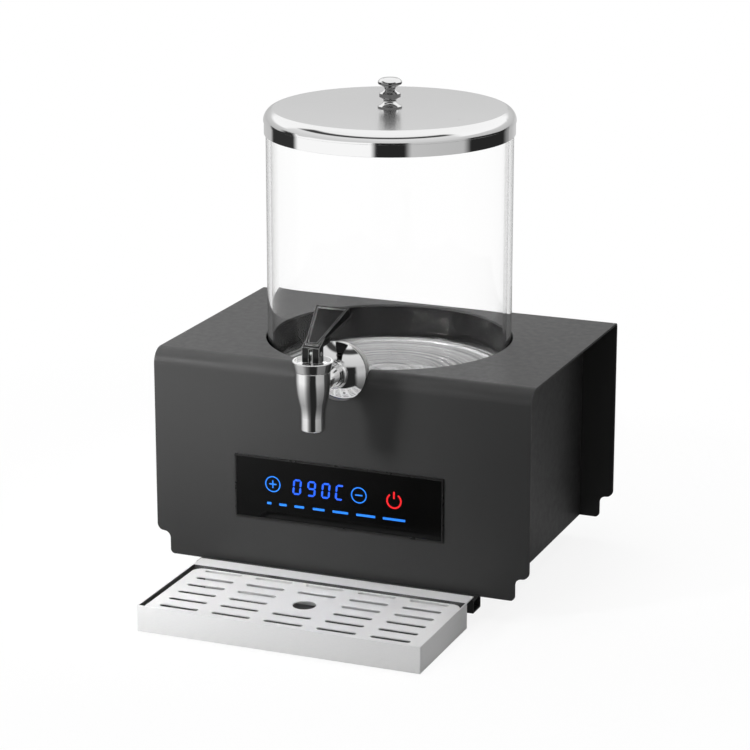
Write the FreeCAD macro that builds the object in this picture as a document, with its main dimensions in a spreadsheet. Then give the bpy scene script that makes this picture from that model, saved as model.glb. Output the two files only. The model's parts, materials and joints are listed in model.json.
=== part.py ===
import FreeCAD, Part
import math
import os
import Sketcher

# Hot chocolate dispenser: a heated black cabinet, a clear vessel with a lever tap and a
# chrome lid, a touch display and a drip tray in front. Millimetres, +Z up, -Y is the front.

doc = FreeCAD.newDocument("hot_chocolate_dispenser")
V = FreeCAD.Vector

# Driving dimensions

DIMENSIONS = {
    # cabinet
    "cabinet_width": 345.0,
    "cabinet_depth": 235.0,
    "cabinet_height": 185.0,
    "wrap_wall": 2.0,
    "front_bend": 13.0,
    "back_bend": 4.0,
    "side_inset": 31.0,
    "side_wall": 1.2,
    "side_flange": 12.0,
    "side_corner": 14.0,
    "notch_width": 12.5,
    "notch_height": 26.5,
    "panel_corner": 4.0,
    "base_gap": 0.3,
    "vent_length": 46.0,
    "vent_width": 4.0,
    "vent_pitch": 11.0,
    "vent_rise": 105.0,
    # feet
    "floor_clearance": 21.0,
    "foot_radius": 14.0,
    "foot_taper": 1.5,
    "foot_sink": 9.0,
    "foot_well_gap": 1.2,
    "foot_inset": 49.5,
    "front_foot_back": 90.0,
    "rear_foot_back": 206.0,
    # well and heater
    "well_opening": 108.5,
    "well_radius": 109.0,
    "well_wall_thickness": 1.0,
    "well_flange": 3.0,
    "well_ledge": 9.0,
    "bend_relief": 2.0,
    "well_depth": 33.5,
    "plate_thickness": 3.0,
    "plate_groove": 6.0,
    "plate_band": 8.0,
    "groove_depth": 1.5,
    "seal_thickness": 1.0,
    "element_ring": 64.0,
    "element_radius": 4.0,
    "element_leg": 40.0,
    "element_leg_spread": 12.0,
    "clamp_radius": 78.0,
    "clamp_thickness": 2.0,
    "insulation_radius": 92.0,
    "insulation_thickness": 14.0,
    "shield_radius": 96.0,
    "shield_wall": 1.2,
    "shield_skirt": 10.0,
    "stud_circle": 40.0,
    "stud_radius": 2.5,
    "stud_reach": 8.0,
    "probe_radius": 3.0,
    "probe_flange": 10.0,
    "probe_nut": 5.0,
    "probe_tail": 12.0,
    "probe_boot": 1.5,
    "leg_taper": 0.5,
    "leg_gap": 0.5,
    "probe_gap": 0.3,
    "stud_nut": 4.6,
    "stud_nut_height": 4.0,
    "thread_fit": 0.05,
    "cutout_radius": 11.0,
    "cutout_height": 9.0,
    "cutout_offset": 70.0,
    "cutout_ear": 4.0,
    "cutout_ear_end": 3.0,
    "cutout_tab": 1.2,
    "blade_half_width": 3.0,
    "blade_wall": 0.8,
    "blade_length": 7.0,
    "blade_offset": 6.0,
    # vessel
    "vessel_radius": 107.0,
    "vessel_wall": 4.0,
    "vessel_floor": 5.0,
    "vessel_height": 221.0,
    "vessel_corner": 3.0,
    "vessel_cove": 8.0,
    # lid
    "lid_drop": 5.8,
    "lid_wall": 0.8,
    "lid_gap": 0.6,
    "lid_bead": 0.5,
    "lid_band": 10.6,
    "lid_shoulder": 7.9,
    "lid_rise": 10.7,
    "lid_crown": 0.5,
    "lid_roll": 1.5,
    "lid_seal_gap": 0.1,
    "lid_seal_width": 5.0,
    "lid_seal_height": 3.0,
    "lid_vent_radius": 1.2,
    "lid_vent_x": 68.0,
    "lid_vent_y": -38.0,
    "lid_vent_pitch": 9.5,
    "knob_base": 10.6,
    "knob_collar": 9.3,
    "knob_waist": 4.6,
    "knob_cap": 10.4,
    "knob_height": 25.8,
    "knob_foot": 1.2,
    "knob_flare_top": 5.4,
    "knob_flare": 7.0,
    "knob_throat": 1.0,
    "knob_collar_low": 9.0,
    "knob_collar_high": 12.2,
    "knob_groove_low": 13.6,
    "knob_groove": 15.4,
    "knob_groove_high": 17.4,
    "knob_cap_low": 19.6,
    "knob_cap_edge": 1.4,
    "knob_cap_round": 5.4,
    "knob_cap_shoulder": 3.6,
    "knob_button_inset": 4.6,
    "knob_button_rise": 0.6,
    "knob_screw_radius": 2.0,
    "knob_screw_depth": 10.0,
    "knob_screw_head": 4.5,
    "knob_screw_head_height": 2.4,
    "knob_screw_slack": 2.0,
    "knob_screw_gap": 0.1,
    # tap
    "tap_drop": 1.0,
    "tap_reach": 53.0,
    "shank_radius": 9.0,
    "shank_bore": 5.0,
    "shank_inside": 14.0,
    "tap_pad": 1.5,
    "notch_radius": 25.0,
    "rosette_radius": 26.0,
    "rosette_dome": 37.4,
    "rosette_wall": 1.2,
    "rosette_boss": 3.6,
    "hub_wall": 4.0,
    "hub_step": 0.6,
    "hub_round": 1.8,
    "sliding_fit": 0.02,
    "tap_hole_gap": 0.3,
    "panel_gap": 0.8,
    "washer_radius": 23.0,
    "washer_thickness": 3.0,
    "inner_washer_radius": 15.0,
    "nut_radius": 14.0,
    "nut_length": 7.0,
    "body_radius": 14.7,
    "body_top": 14.3,
    "body_shoulder": 8.0,
    "body_waist": 24.5,
    "nozzle_radius": 10.4,
    "nozzle_length": 11.7,
    "edge_round": 0.8,
    "outlet_bore": 6.5,
    "chamber_radius": 9.0,
    "seat_drop": 14.0,
    "bonnet_radius": 17.1,
    "bonnet_foot": 15.3,
    "bonnet_height": 9.2,
    "bonnet_rim": 2.0,
    "bonnet_dish": 2.1,
    "bonnet_wall": 2.2,
    "bonnet_chamfer": 0.6,
    "thread_wall": 2.2,
    "ring_radius": 0.95,
    "stem_radius": 2.4,
    "stem_fit": 0.08,
    "cup_radius": 7.6,
    "cup_height": 8.0,
    "cup_socket": 2.5,
    "collar_height": 1.5,
    "collar_lap": 1.0,
    "tongue_gap": 0.6,
    "tongue_lap": 0.2,
    "spring_radius": 5.6,
    "spring_wire": 0.5,
    "spring_turns": 6.0,
    "pin_radius": 1.5,
    "pin_fit": 0.05,
    "pin_height": 6.0,
    "pin_end": 0.3,
    "eye_half_width": 1.35,
    "eye_wall": 2.0,
    "yoke_gap": 0.35,
    "yoke_half_width": 7.7,
    "yoke_half_depth": 4.6,
    "yoke_rest_gap": 0.5,
    "yoke_swing_gap": 0.5,
    "lever_gusset": 19.0,
    "lever_gusset_rise": 4.8,
    "lever_tilt": 25.4,
    "lever_offset": 8.4,
    "lever_root": 1.35,
    "lever_length": 49.4,
    "lever_tip_half_width": 14.65,
    "lever_root_half_width": 5.5,
    "lever_tip_thickness": 8.9,
    "lever_root_thickness": 2.0,
    "lever_border": 2.2,
    "lever_recess": 1.0,
    "lever_floor": 0.4,
    "lever_border_root": 1.8,
    # display
    "display_width": 192.0,
    "display_height": 56.5,
    "display_rise": 43.5,
    "bezel_proud": 1.8,
    "bezel_lip": 1.4,
    "bezel_overlap": 2.0,
    "bezel_depth": 7.0,
    "bezel_ledge": 4.0,
    "bezel_catch": 1.2,
    "catch_half_width": 5.0,
    "catch_end": 2.0,
    "glass_fit": 0.1,
    "board_gap": 0.6,
    "display_socket_half": 12.0,
    "display_socket_rise": 14.0,
    "display_socket_height": 8.0,
    "display_socket_depth": 6.0,
    "window_fit": 0.2,
    "glass_sink": 0.3,
    "glass_thickness": 1.4,
    "board_thickness": 1.6,
    # drip tray
    "tray_inset": 46.0,
    "tray_depth": 108.5,
    "tray_height": 22.8,
    "tray_gap": 24.0,
    "tray_wall": 1.0,
    "tray_flange": 16.0,
    "tray_floor_gap": 0.7,
    "tray_seam": 1.2,
    "tray_corner": 1.0,
    "slide_gap": 0.3,
    "grid_sink": 2.6,
    "grid_side_gap": 2.2,
    "grid_corner": 9.0,
    "grid_skirt_gap": 0.3,
    "slot_length": 35.0,
    "slot_width": 5.4,
    "slot_margin": 10.8,
    "row_pitch": 17.6,
    "row_shift": 4.4,
    "drain_radius": 10.0,
    "bracket_wall": 1.5,
    "bracket_overhang": 2.0,
    "bracket_web_gap": 0.3,
    "bracket_side_gap": 3.0,
    "bracket_screw_edge": 8.0,
    "bracket_screw_side": 22.5,
    "bracket_nose": 14.1,
    "bracket_lip_gap": 1.1,
    "bracket_drop": 11.7,
    "bracket_tail": 36.0,
    # electrics
    "control_width": 120.0,
    "control_depth": 84.0,
    "control_side_gap": 9.5,
    "control_back": 62.0,
    "standoff_height": 8.0,
    "standoff_radius": 3.5,
    "standoff_inset": 6.0,
    "part_inset": 14.0,
    "chip_gap": 12.0,
    "chip_width": 18.0,
    "chip_depth": 12.0,
    "chip_height": 2.4,
    "link_width": 24.0,
    "link_depth": 8.0,
    "link_height": 8.0,
    "link_edge": 6.0,
    "transformer_width": 42.0,
    "transformer_depth": 36.0,
    "transformer_height": 34.0,
    "relay_width": 20.0,
    "relay_depth": 16.0,
    "relay_height": 16.0,
    "terminal_width": 48.0,
    "terminal_depth": 20.0,
    "terminal_height": 18.0,
    "terminal_ear": 8.0,
    "terminal_ear_height": 3.0,
    "terminal_ear_depth": 10.0,
    "terminal_side_gap": 27.5,
    "terminal_back": 160.0,
    "inlet_rise": 58.0,
    "inlet_width": 27.0,
    "inlet_height": 20.0,
    "inlet_depth": 26.0,
    "inlet_flange": 3.0,
    "inlet_ear": 12.0,
    "inlet_wall": 2.0,
    "inlet_socket": 16.0,
    "inlet_lap": 3.0,
    "inlet_floor": 2.0,
    "inlet_pin": 10.0,
    "inlet_pin_wall": 2.0,
    "inlet_pin_height": 4.0,
    "inlet_pin_spread": 7.0,
    "inlet_pin_rise": 2.0,
    "inlet_tab": 8.0,
    "inlet_tab_width": 6.0,
    "inlet_tab_wall": 0.8,
    # fasteners
    "screw_radius": 2.0,
    "screw_head": 3.8,
    "screw_head_height": 2.2,
    "small_screw_radius": 1.25,
    "small_screw_head": 2.4,
    "small_screw_head_height": 1.6,
    "screw_fit": 0.1,
    "screw_reach": 4.0,
}

sheet = doc.addObject("Spreadsheet::Sheet", "Dims")
for row, (alias, value) in enumerate(DIMENSIONS.items(), start=1):
    sheet.set("A%d" % row, alias)
    sheet.set("B%d" % row, str(value))
    sheet.setAlias("B%d" % row, alias)
doc.recompute()


class Size:
    """A length with its value and the sheet expression that gives it."""

    def __init__(self, value, text):
        self.value = float(value)
        self.text = text

    def __add__(self, other):
        other = size(other)
        return Size(self.value + other.value, "(%s + %s)" % (self.text, other.text))

    def __radd__(self, other):
        return size(other) + self

    def __sub__(self, other):
        other = size(other)
        return Size(self.value - other.value, "(%s - %s)" % (self.text, other.text))

    def __rsub__(self, other):
        return size(other) - self

    def __mul__(self, other):
        other = size(other)
        return Size(self.value * other.value, "(%s * %s)" % (self.text, other.text))

    def __rmul__(self, other):
        return size(other) * self

    def __truediv__(self, other):
        other = size(other)
        return Size(self.value / other.value, "(%s / %s)" % (self.text, other.text))

    def __neg__(self):
        return Size(-self.value, "(-1 * %s)" % self.text)


def size(value):
    if isinstance(value, Size):
        return value
    return Size(value, repr(float(value)))


def root(value):
    value = size(value)
    return Size(math.sqrt(value.value), "sqrt(%s)" % value.text)


def cosine(angle):
    return Size(math.cos(math.radians(angle.value)), "cos(%s * 1deg)" % angle.text)


def sine(angle):
    return Size(math.sin(math.radians(angle.value)), "sin(%s * 1deg)" % angle.text)


class Sheet:
    """The driving dimensions by name."""

    def __getattr__(self, name):
        return Size(sheet.get(name), "Dims." + name)


d = Sheet()
NODES = []


# Drawing helpers

def bind(thing, prop, amount):
    amount = size(amount)
    thing.setExpression(prop, amount.text)


def place(thing, x=0.0, y=0.0, z=0.0, axis=None, angle=0.0):
    if axis is not None:
        thing.Placement = FreeCAD.Placement(V(0, 0, 0), FreeCAD.Rotation(V(*axis), angle))
    bind(thing, "Placement.Base.x", x)
    bind(thing, "Placement.Base.y", y)
    bind(thing, "Placement.Base.z", z)
    return thing


def node(thing, label):
    thing.Label = label
    NODES.append(thing)
    return thing


def box(name, low, high):
    """A block between two corners."""
    thing = doc.addObject("Part::Box", name)
    for prop, a, b in zip(("Length", "Width", "Height"), low, high):
        bind(thing, prop, size(b) - size(a))
    return place(thing, *low)


AXES = {
    "Z": (None, 0.0),
    "Y": ((1, 0, 0), -90.0),
    "X": ((0, 1, 0), 90.0),
}


def cylinder(name, radius, length, at, along="Z"):
    """A round bar that starts at a point and runs along +X, +Y or +Z."""
    thing = doc.addObject("Part::Cylinder", name)
    bind(thing, "Radius", radius)
    bind(thing, "Height", length)
    axis, angle = AXES[along]
    return place(thing, *at, axis=axis, angle=angle)


def cut(name, base, tools):
    thing = doc.addObject("Part::Cut", name)
    thing.Base = base
    thing.Tool = tools[0] if len(tools) == 1 else fuse(name + "_tools", tools)
    return thing


def fuse(name, pieces):
    thing = doc.addObject("Part::MultiFuse", name)
    thing.Shapes = pieces
    return thing


def group(label, pieces):
    """Separate identical solids that share one node."""
    thing = doc.addObject("Part::Compound", label)
    thing.Links = pieces
    return node(thing, label)


def origin_plane(body, role):
    for feature in body.Origin.OriginFeatures:
        if feature.Role == role:
            return feature
    raise ValueError(role)


def anchor(sketch, geometry, point, across, up):
    """Holds one point of the sketch at its place."""
    for kind, amount, axis in (("DistanceX", across, -2), ("DistanceY", up, -1)):
        amount = size(amount)
        if abs(amount.value) < 1e-9:
            sketch.addConstraint(Sketcher.Constraint("PointOnObject", geometry, point, axis))
        else:
            index = sketch.addConstraint(
                Sketcher.Constraint(kind, -1, 1, geometry, point, amount.value))
            sketch.setExpression("Constraints[%d]" % index, amount.text)


def arc_edge(start, end, radius, turn):
    """The arc of under half a circle from start to end, left (1) or right (-1) handed."""
    chord = end - start
    half = chord.Length / 2
    rise = math.sqrt(max(radius * radius - half * half, 0.0))
    left = V(-chord.y, chord.x, 0)
    left.normalize()
    centre = (start + end) / 2 + left * (rise * turn)
    first, last = (start, end) if turn > 0 else (end, start)
    a = math.atan2(first.y - centre.y, first.x - centre.x)
    b = math.atan2(last.y - centre.y, last.x - centre.x)
    return Part.ArcOfCircle(Part.Circle(centre, V(0, 0, 1), radius), a, b)


def outline(sketch, path):
    """A closed loop. Each entry is a point, and (point, radius, turn) reaches it by an arc."""
    steps = []
    for entry in path:
        if isinstance(entry[0], tuple):
            point, radius, turn = entry
            steps.append((size(point[0]), size(point[1]), size(radius), turn))
        else:
            steps.append((size(entry[0]), size(entry[1]), None, 0))
    edges = []
    for i, (across, up, radius, turn) in enumerate(steps):
        before = steps[i - 1]
        start = V(before[0].value, before[1].value, 0)
        end = V(across.value, up.value, 0)
        if radius is None:
            index = sketch.addGeometry(Part.LineSegment(start, end), False)
            edges.append((index, 1, 2))
        else:
            index = sketch.addGeometry(arc_edge(start, end, radius.value, turn), False)
            edges.append((index, 1, 2) if turn > 0 else (index, 2, 1))
    for i, (index, first, last) in enumerate(edges):
        following = edges[(i + 1) % len(edges)]
        sketch.addConstraint(
            Sketcher.Constraint("Coincident", index, last, following[0], following[1]))
        anchor(sketch, index, last, steps[i][0], steps[i][1])
        if steps[i][2] is not None:
            mark = sketch.addConstraint(
                Sketcher.Constraint("Radius", index, steps[i][2].value))
            sketch.setExpression("Constraints[%d]" % mark, steps[i][2].text)


def ring_loop(sketch, centre, radius):
    """A full circle."""
    across, up = size(centre[0]), size(centre[1])
    radius = size(radius)
    index = sketch.addGeometry(
        Part.Circle(V(across.value, up.value, 0), V(0, 0, 1), radius.value), False)
    anchor(sketch, index, 3, across, up)
    mark = sketch.addConstraint(Sketcher.Constraint("Radius", index, radius.value))
    sketch.setExpression("Constraints[%d]" % mark, radius.text)


def rectangle(low, high):
    return [low, (high[0], low[1]), high, (low[0], high[1])]


def slot_outline(across, up, length, width):
    """A slot with round ends, centred on a point and running across."""
    r = width / 2
    left = across - length / 2
    right = across + length / 2
    return [
        ((left + r, up - r), r, 1),
        (right - r, up - r),
        ((right, up), r, 1),
        ((right - r, up + r), r, 1),
        (left + r, up + r),
        ((left, up), r, 1),
    ]


# Sketch planes: role, and the sign that turns a world position into an offset
PLANES = {"XY": ("XY_Plane", 1), "XZ": ("XZ_Plane", -1), "YZ": ("YZ_Plane", 1)}


def sketch_on(body, name, plane, offset=0.0, loops=(), circles=()):
    role, sign = PLANES[plane]
    sketch = body.newObject("Sketcher::SketchObject", name)
    sketch.AttachmentSupport = [(origin_plane(body, role), "")]
    sketch.MapMode = "FlatFace"
    bind(sketch, "AttachmentOffset.Base.z", sign * size(offset))
    for loop in loops:
        outline(sketch, loop)
    for centre, radius in circles:
        ring_loop(sketch, centre, radius)
    return sketch


def new_body(label, x=0.0, y=0.0, z=0.0):
    body = doc.addObject("PartDesign::Body", label)
    place(body, x, y, z)
    return node(body, label)


def pad(body, name, plane, start, length, loops=(), circles=()):
    """Adds a plate that begins at start and grows along the positive axis."""
    sketch = sketch_on(body, name + "_sketch", plane, start, loops, circles)
    feature = body.newObject("PartDesign::Pad", name)
    feature.Profile = sketch
    feature.Reversed = plane == "XZ"
    bind(feature, "Length", length)
    sketch.Visibility = False
    return feature


def pocket(body, name, plane, start, length, loops=(), circles=()):
    """Cuts from start along the positive axis and makes sure that it cut something."""
    doc.recompute()
    before = body.Shape.Volume
    sketch = sketch_on(body, name + "_sketch", plane, start, loops, circles)
    feature = body.newObject("PartDesign::Pocket", name)
    feature.Profile = sketch
    feature.Reversed = plane != "XZ"
    bind(feature, "Length", length)
    sketch.Visibility = False
    doc.recompute()
    if not body.Shape.Volume < before - 1e-6:
        raise ValueError("%s of %s cut nothing" % (name, body.Label))
    return feature


def turned(body, name, path):
    """Turns a profile of (radius, height) points about the body's own Z axis."""
    sketch = sketch_on(body, name + "_sketch", "XZ", 0.0, [path])
    feature = body.newObject("PartDesign::Revolution", name)
    feature.Profile = sketch
    feature.ReferenceAxis = (sketch, ["V_Axis"])
    feature.Angle = 360
    sketch.Visibility = False
    return feature


def rows(body, feature, sketch_axis, pitch, count):
    """Repeats a feature in line."""
    doc.recompute()
    pattern = body.newObject("PartDesign::LinearPattern", feature.Name + "_rows")
    pattern.Originals = [feature]
    pattern.Direction = (feature.Profile[0], [sketch_axis])
    pattern.Occurrences = count
    bind(pattern, "Length", size(pitch) * (count - 1))
    body.Tip = pattern
    return pattern


SCREW = (d.screw_radius, d.screw_head, d.screw_head_height)
SMALL_SCREW = (d.small_screw_radius, d.small_screw_head, d.small_screw_head_height)


def screw(name, kind, head_at, along, length, sign=1):
    """A screw with its head's bearing face at head_at and its shank along sign times the axis."""
    radius, head_radius, head_height = kind
    x, y, z = head_at
    shifts = {"X": (1, 0, 0), "Y": (0, 1, 0), "Z": (0, 0, 1)}[along]

    def moved(amount):
        return tuple(size(c) + s * size(amount) if s else c for c, s in zip((x, y, z), shifts))

    if sign > 0:
        shank = cylinder(name + "_shank", radius, length, (x, y, z), along)
        head = cylinder(name + "_head", head_radius, head_height, moved(-size(head_height)), along)
    else:
        shank = cylinder(name + "_shank", radius, length, moved(-size(length)), along)
        head = cylinder(name + "_head", head_radius, head_height, (x, y, z), along)
    return fuse(name, [shank, head])


def prism(name, radius, height, at, along="Z"):
    """A six-sided nut blank."""
    thing = doc.addObject("Part::Prism", name)
    thing.Polygon = 6
    bind(thing, "Circumradius", radius)
    bind(thing, "Height", height)
    axis, angle = AXES[along]
    return place(thing, *at, axis=axis, angle=angle)


# Shared levels and places

half_width = d.cabinet_width / 2
base_z = d.floor_clearance
top_z = base_z + d.cabinet_height
front = (d.tray_gap + d.tray_depth - d.cabinet_depth - d.inlet_flange) / 2
back = front + d.cabinet_depth
axis_y = front + d.cabinet_depth / 2
inner_front = front + d.wrap_wall
inner_back = back - d.wrap_wall
inner_top = top_z - d.wrap_wall
side_x = half_width - d.side_inset
flange_x = side_x - d.side_flange
floor_z = base_z + d.side_wall
deck_z = floor_z + d.side_wall
plate_top = top_z - d.well_depth
plate_bottom = plate_top - d.plate_thickness
ledge_top = plate_bottom - d.seal_thickness
tap_z = top_z - d.tap_drop
tap_y = front - d.tap_reach
control_x = d.control_side_gap + d.control_width / 2 - flange_x
terminal_x = flange_x - d.terminal_side_gap - d.terminal_ear - d.terminal_width / 2
inlet_x = terminal_x


# Cabinet

def notch_loop(side):
    """The S-shaped step cut from a bottom corner of the front and back panels."""
    edge = half_width
    step = d.notch_width / 2
    top = base_z + d.notch_height
    outside = edge + 1
    below = base_z - 1
    foot = edge - d.notch_width

    def at(x, z):
        return (side * x, z)

    return [
        at(outside, below),
        at(outside, top),
        at(edge, top),
        (at(edge - step, top - step), step, -side),
        (at(foot, top - d.notch_width), step, side),
        at(foot, base_z + d.panel_corner),
        (at(foot - d.panel_corner, base_z), d.panel_corner, -side),
        at(foot - d.panel_corner, below),
    ]


def make_housing_wrap():
    body = new_body("housing_wrap")
    inner_bend = d.front_bend - d.wrap_wall
    inner_back_bend = d.back_bend - d.wrap_wall
    profile = [
        (front, base_z),
        (front, top_z - d.front_bend),
        ((front + d.front_bend, top_z), d.front_bend, -1),
        (back - d.back_bend, top_z),
        ((back, top_z - d.back_bend), d.back_bend, -1),
        (back, base_z),
        (inner_back, base_z),
        (inner_back, top_z - d.back_bend),
        ((back - d.back_bend, inner_top), inner_back_bend, 1),
        (front + d.front_bend, inner_top),
        ((inner_front, top_z - d.front_bend), inner_bend, 1),
        (inner_front, base_z),
    ]
    pad(body, "bent_sheet", "YZ", -half_width, d.cabinet_width, [profile])
    pocket(body, "well_hole", "XY", inner_top - 1, d.wrap_wall + 2,
           circles=[((0, axis_y), d.well_opening)])
    r = d.notch_radius
    pocket(body, "tap_slot", "XY", tap_z, d.tap_drop + 1,
           [rectangle((-r, front - 1), (r, axis_y))])
    pocket(body, "tap_notch", "XZ", front - 1, d.cabinet_depth / 2, circles=[((0, tap_z), r)])
    window_x = d.display_width / 2 - d.bezel_overlap + d.window_fit
    low = base_z + d.display_rise + d.bezel_overlap - d.window_fit
    high = base_z + d.display_rise + d.display_height - d.bezel_overlap + d.window_fit
    pocket(body, "display_window", "XZ", front - 1, d.wrap_wall + 2,
           [rectangle((-window_x, low), (window_x, high))])
    pocket(body, "corner_steps", "XZ", front - 1, d.cabinet_depth + 2,
           [notch_loop(1), notch_loop(-1)])
    inlet_w = d.inlet_width / 2 + d.window_fit
    inlet_h = d.inlet_height / 2 + d.window_fit
    inlet_z = base_z + d.inlet_rise
    ear_x = d.inlet_width / 2 + d.inlet_ear / 2
    hole = d.screw_radius
    pocket(body, "inlet_hole", "XZ", inner_back - 1, d.wrap_wall + 2,
           [rectangle((inlet_x - inlet_w, inlet_z - inlet_h),
                      (inlet_x + inlet_w, inlet_z + inlet_h))],
           [((inlet_x - ear_x, inlet_z), hole), ((inlet_x + ear_x, inlet_z), hole)])
    vent = pocket(body, "vents", "XZ", inner_back - 1, d.wrap_wall + 2,
                  [slot_outline(-inlet_x, base_z + d.vent_rise, d.vent_length, d.vent_width)])
    rows(body, vent, "V_Axis", d.vent_pitch, 5)
    return body


def make_side_panel(label, side):
    """A shallow pan whose flanges turn inward, set in under the overhanging wrap."""
    body = new_body(label)
    flange = d.side_flange
    corner = d.side_corner

    def pan(gap, radius):
        low_y = inner_front + gap
        high_y = inner_back - gap
        low_z = base_z + gap
        high_z = inner_top - gap
        return [
            (low_y, low_z),
            (low_y, high_z - radius),
            ((low_y + radius, high_z), radius, -1),
            (high_y - radius, high_z),
            ((high_y, high_z - radius), radius, -1),
            (high_y, low_z),
        ]

    inner = side_x - flange
    start = inner if side > 0 else -side_x
    pad(body, "pan", "YZ", start, flange, [pan(size(0), corner)])
    dished = flange - d.side_wall
    hollow = inner if side > 0 else d.side_wall - side_x
    pocket(body, "hollow", "YZ", hollow, dished, [pan(d.side_wall, corner - d.side_wall)])
    screws_x = side * (side_x - flange / 2)
    pocket(body, "screw_holes", "XY", base_z - 1, d.side_wall + 2,
           circles=[((screws_x, y), d.screw_radius + d.screw_fit) for y in base_screw_rows()])
    return body


def base_screw_rows():
    return [front + d.cabinet_depth / 2 + k * d.cabinet_depth / 3 for k in (-1, 0, 1)]


def foot_places():
    return [
        (side * (side_x - d.foot_inset), front + step)
        for side in (-1, 1)
        for step in (d.front_foot_back, d.rear_foot_back)
    ]


def make_base_plate():
    body = new_body("base_plate")
    reach_x = side_x - d.side_wall - d.base_gap
    low_y = inner_front + d.side_wall + d.base_gap
    high_y = inner_back - d.side_wall - d.base_gap
    pad(body, "plate", "XY", floor_z, d.side_wall,
        [rectangle((-reach_x, low_y), (reach_x, high_y))])
    hole = d.screw_radius + d.screw_fit
    screws_x = side_x - d.side_flange / 2
    holes = [((side * screws_x, y), hole) for side in (-1, 1) for y in base_screw_rows()]
    holes += [(place_xy, hole) for place_xy in foot_places()]
    holes += [(place_xy, hole) for place_xy in bracket_screw_places()]
    holes += [(place_xy, hole) for place_xy in standoff_places()]
    holes += [(place_xy, hole) for place_xy in terminal_screw_places()]
    pocket(body, "holes", "XY", floor_z - 1, d.side_wall + 2, circles=holes)
    louvre = pocket(body, "louvres", "XY", floor_z - 1, d.side_wall + 2,
                    [slot_outline(size(0), front + d.terminal_back, d.vent_length,
                                  d.vent_width)])
    rows(body, louvre, "V_Axis", d.vent_pitch, 4)
    return body


def make_base_screws():
    x = side_x - d.side_flange / 2
    screws = [
        screw("base_screw_%d_%d" % (i, j), SCREW, (side * x, y, base_z), "Z",
              d.side_wall * 2 + d.screw_reach)
        for i, side in enumerate((-1, 1))
        for j, y in enumerate(base_screw_rows())
    ]
    group("base_screws", screws)


def make_feet():
    """Rubber feet with a sunk hole for their screws."""
    seat = floor_z - d.foot_sink
    feet = []
    screws = []
    for i, (x, y) in enumerate(foot_places()):
        cone = doc.addObject("Part::Cone", "foot_cone_%d" % i)
        bind(cone, "Radius1", d.foot_radius - d.foot_taper)
        bind(cone, "Radius2", d.foot_radius)
        bind(cone, "Height", floor_z)
        place(cone, x, y, 0)
        well = cylinder("foot_well_%d" % i, d.screw_head + d.foot_well_gap, seat + 1, (x, y, -1))
        bore = cylinder("foot_bore_%d" % i, d.screw_radius, floor_z + 2, (x, y, -1))
        feet.append(cut("foot_%d" % i, cone, [well, bore]))
        screws.append(screw("foot_screw_%d" % i, SCREW, (x, y, seat), "Z",
                            d.foot_sink + d.side_wall + d.screw_reach))
    group("feet", feet)
    group("foot_screws", screws)


# Drip tray and its bracket

rim_z = d.tray_floor_gap + d.tray_height
bracket_top = floor_z
tray_half = half_width - d.tray_inset
bracket_half = tray_half + d.bracket_overhang
tray_back = front - d.tray_gap
tray_front = tray_back - d.tray_depth
grid_top = rim_z - d.grid_sink


def bracket_screw_places():
    y = front + d.bracket_tail - d.bracket_screw_edge
    x = bracket_half - d.bracket_screw_side
    return [(-x, y), (x, y)]


def make_tray_bracket():
    """A bent strip that reaches out under the front panel and carries the tray's flange."""
    body = new_body("tray_bracket")
    t = d.bracket_wall
    nose = front - d.bracket_nose
    web = inner_front + d.bracket_web_gap
    low = bracket_top - d.bracket_drop
    shelf = rim_z - d.tray_wall - d.slide_gap
    profile = [
        (nose, low),
        (nose, shelf),
        (front - d.bracket_lip_gap, shelf),
        (front - d.bracket_lip_gap, shelf - t),
        (nose + t, shelf - t),
        (nose + t, low + t),
        (web, low + t),
        (web, bracket_top),
        (front + d.bracket_tail, bracket_top),
        (front + d.bracket_tail, bracket_top - t),
        (web + t, bracket_top - t),
        (web + t, low),
    ]
    pad(body, "strip", "YZ", -bracket_half, 2 * bracket_half, [profile])
    pocket(body, "screw_holes", "XY", bracket_top - t - 1, t + 2,
           circles=[(xy, d.screw_radius + d.screw_fit) for xy in bracket_screw_places()])
    # The corners are cut away to pass between the side panels' flanges
    inner = flange_x - d.bracket_side_gap
    outer = bracket_half + 1
    pocket(body, "corner_cuts", "XY", base_z - d.base_gap, bracket_top - base_z + 1, [
        rectangle((side * inner, front - 1), (side * outer, front + d.bracket_tail + 1))
        for side in (-1, 1)
    ])
    screws = [
        screw("bracket_screw_%d" % i, SCREW, (x, y, bracket_top - t), "Z",
              t + d.side_wall + d.screw_reach)
        for i, (x, y) in enumerate(bracket_screw_places())
    ]
    group("bracket_screws", screws)


def make_tray_pan():
    """A folded steel pan with a flange at the back and a seam beside each front corner."""
    w = tray_half
    t = d.tray_wall
    low = d.tray_floor_gap
    outer = box("tray_outer", (-w, tray_front, low), (w, tray_back, rim_z))
    inner = box("tray_inner", (-w + t, tray_front + t, low + t), (w - t, tray_back - t, rim_z + 1))
    flange = box("tray_lip", (-w, tray_back - t, rim_z - t), (w, tray_back + d.tray_flange, rim_z))
    seam_y = tray_front + d.tray_corner
    seams = [
        box("tray_seam_left", (-w - 1, seam_y, low + t),
            (-w + t / 2, seam_y + d.tray_seam, rim_z + 1)),
        box("tray_seam_right", (w - t / 2, seam_y, low + t),
            (w + 1, seam_y + d.tray_seam, rim_z + 1)),
    ]
    shell = fuse("tray_shell", [cut("tray_walls", outer, [inner]), flange])
    node(cut("tray_pan_cut", shell, seams), "tray_pan")


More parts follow.
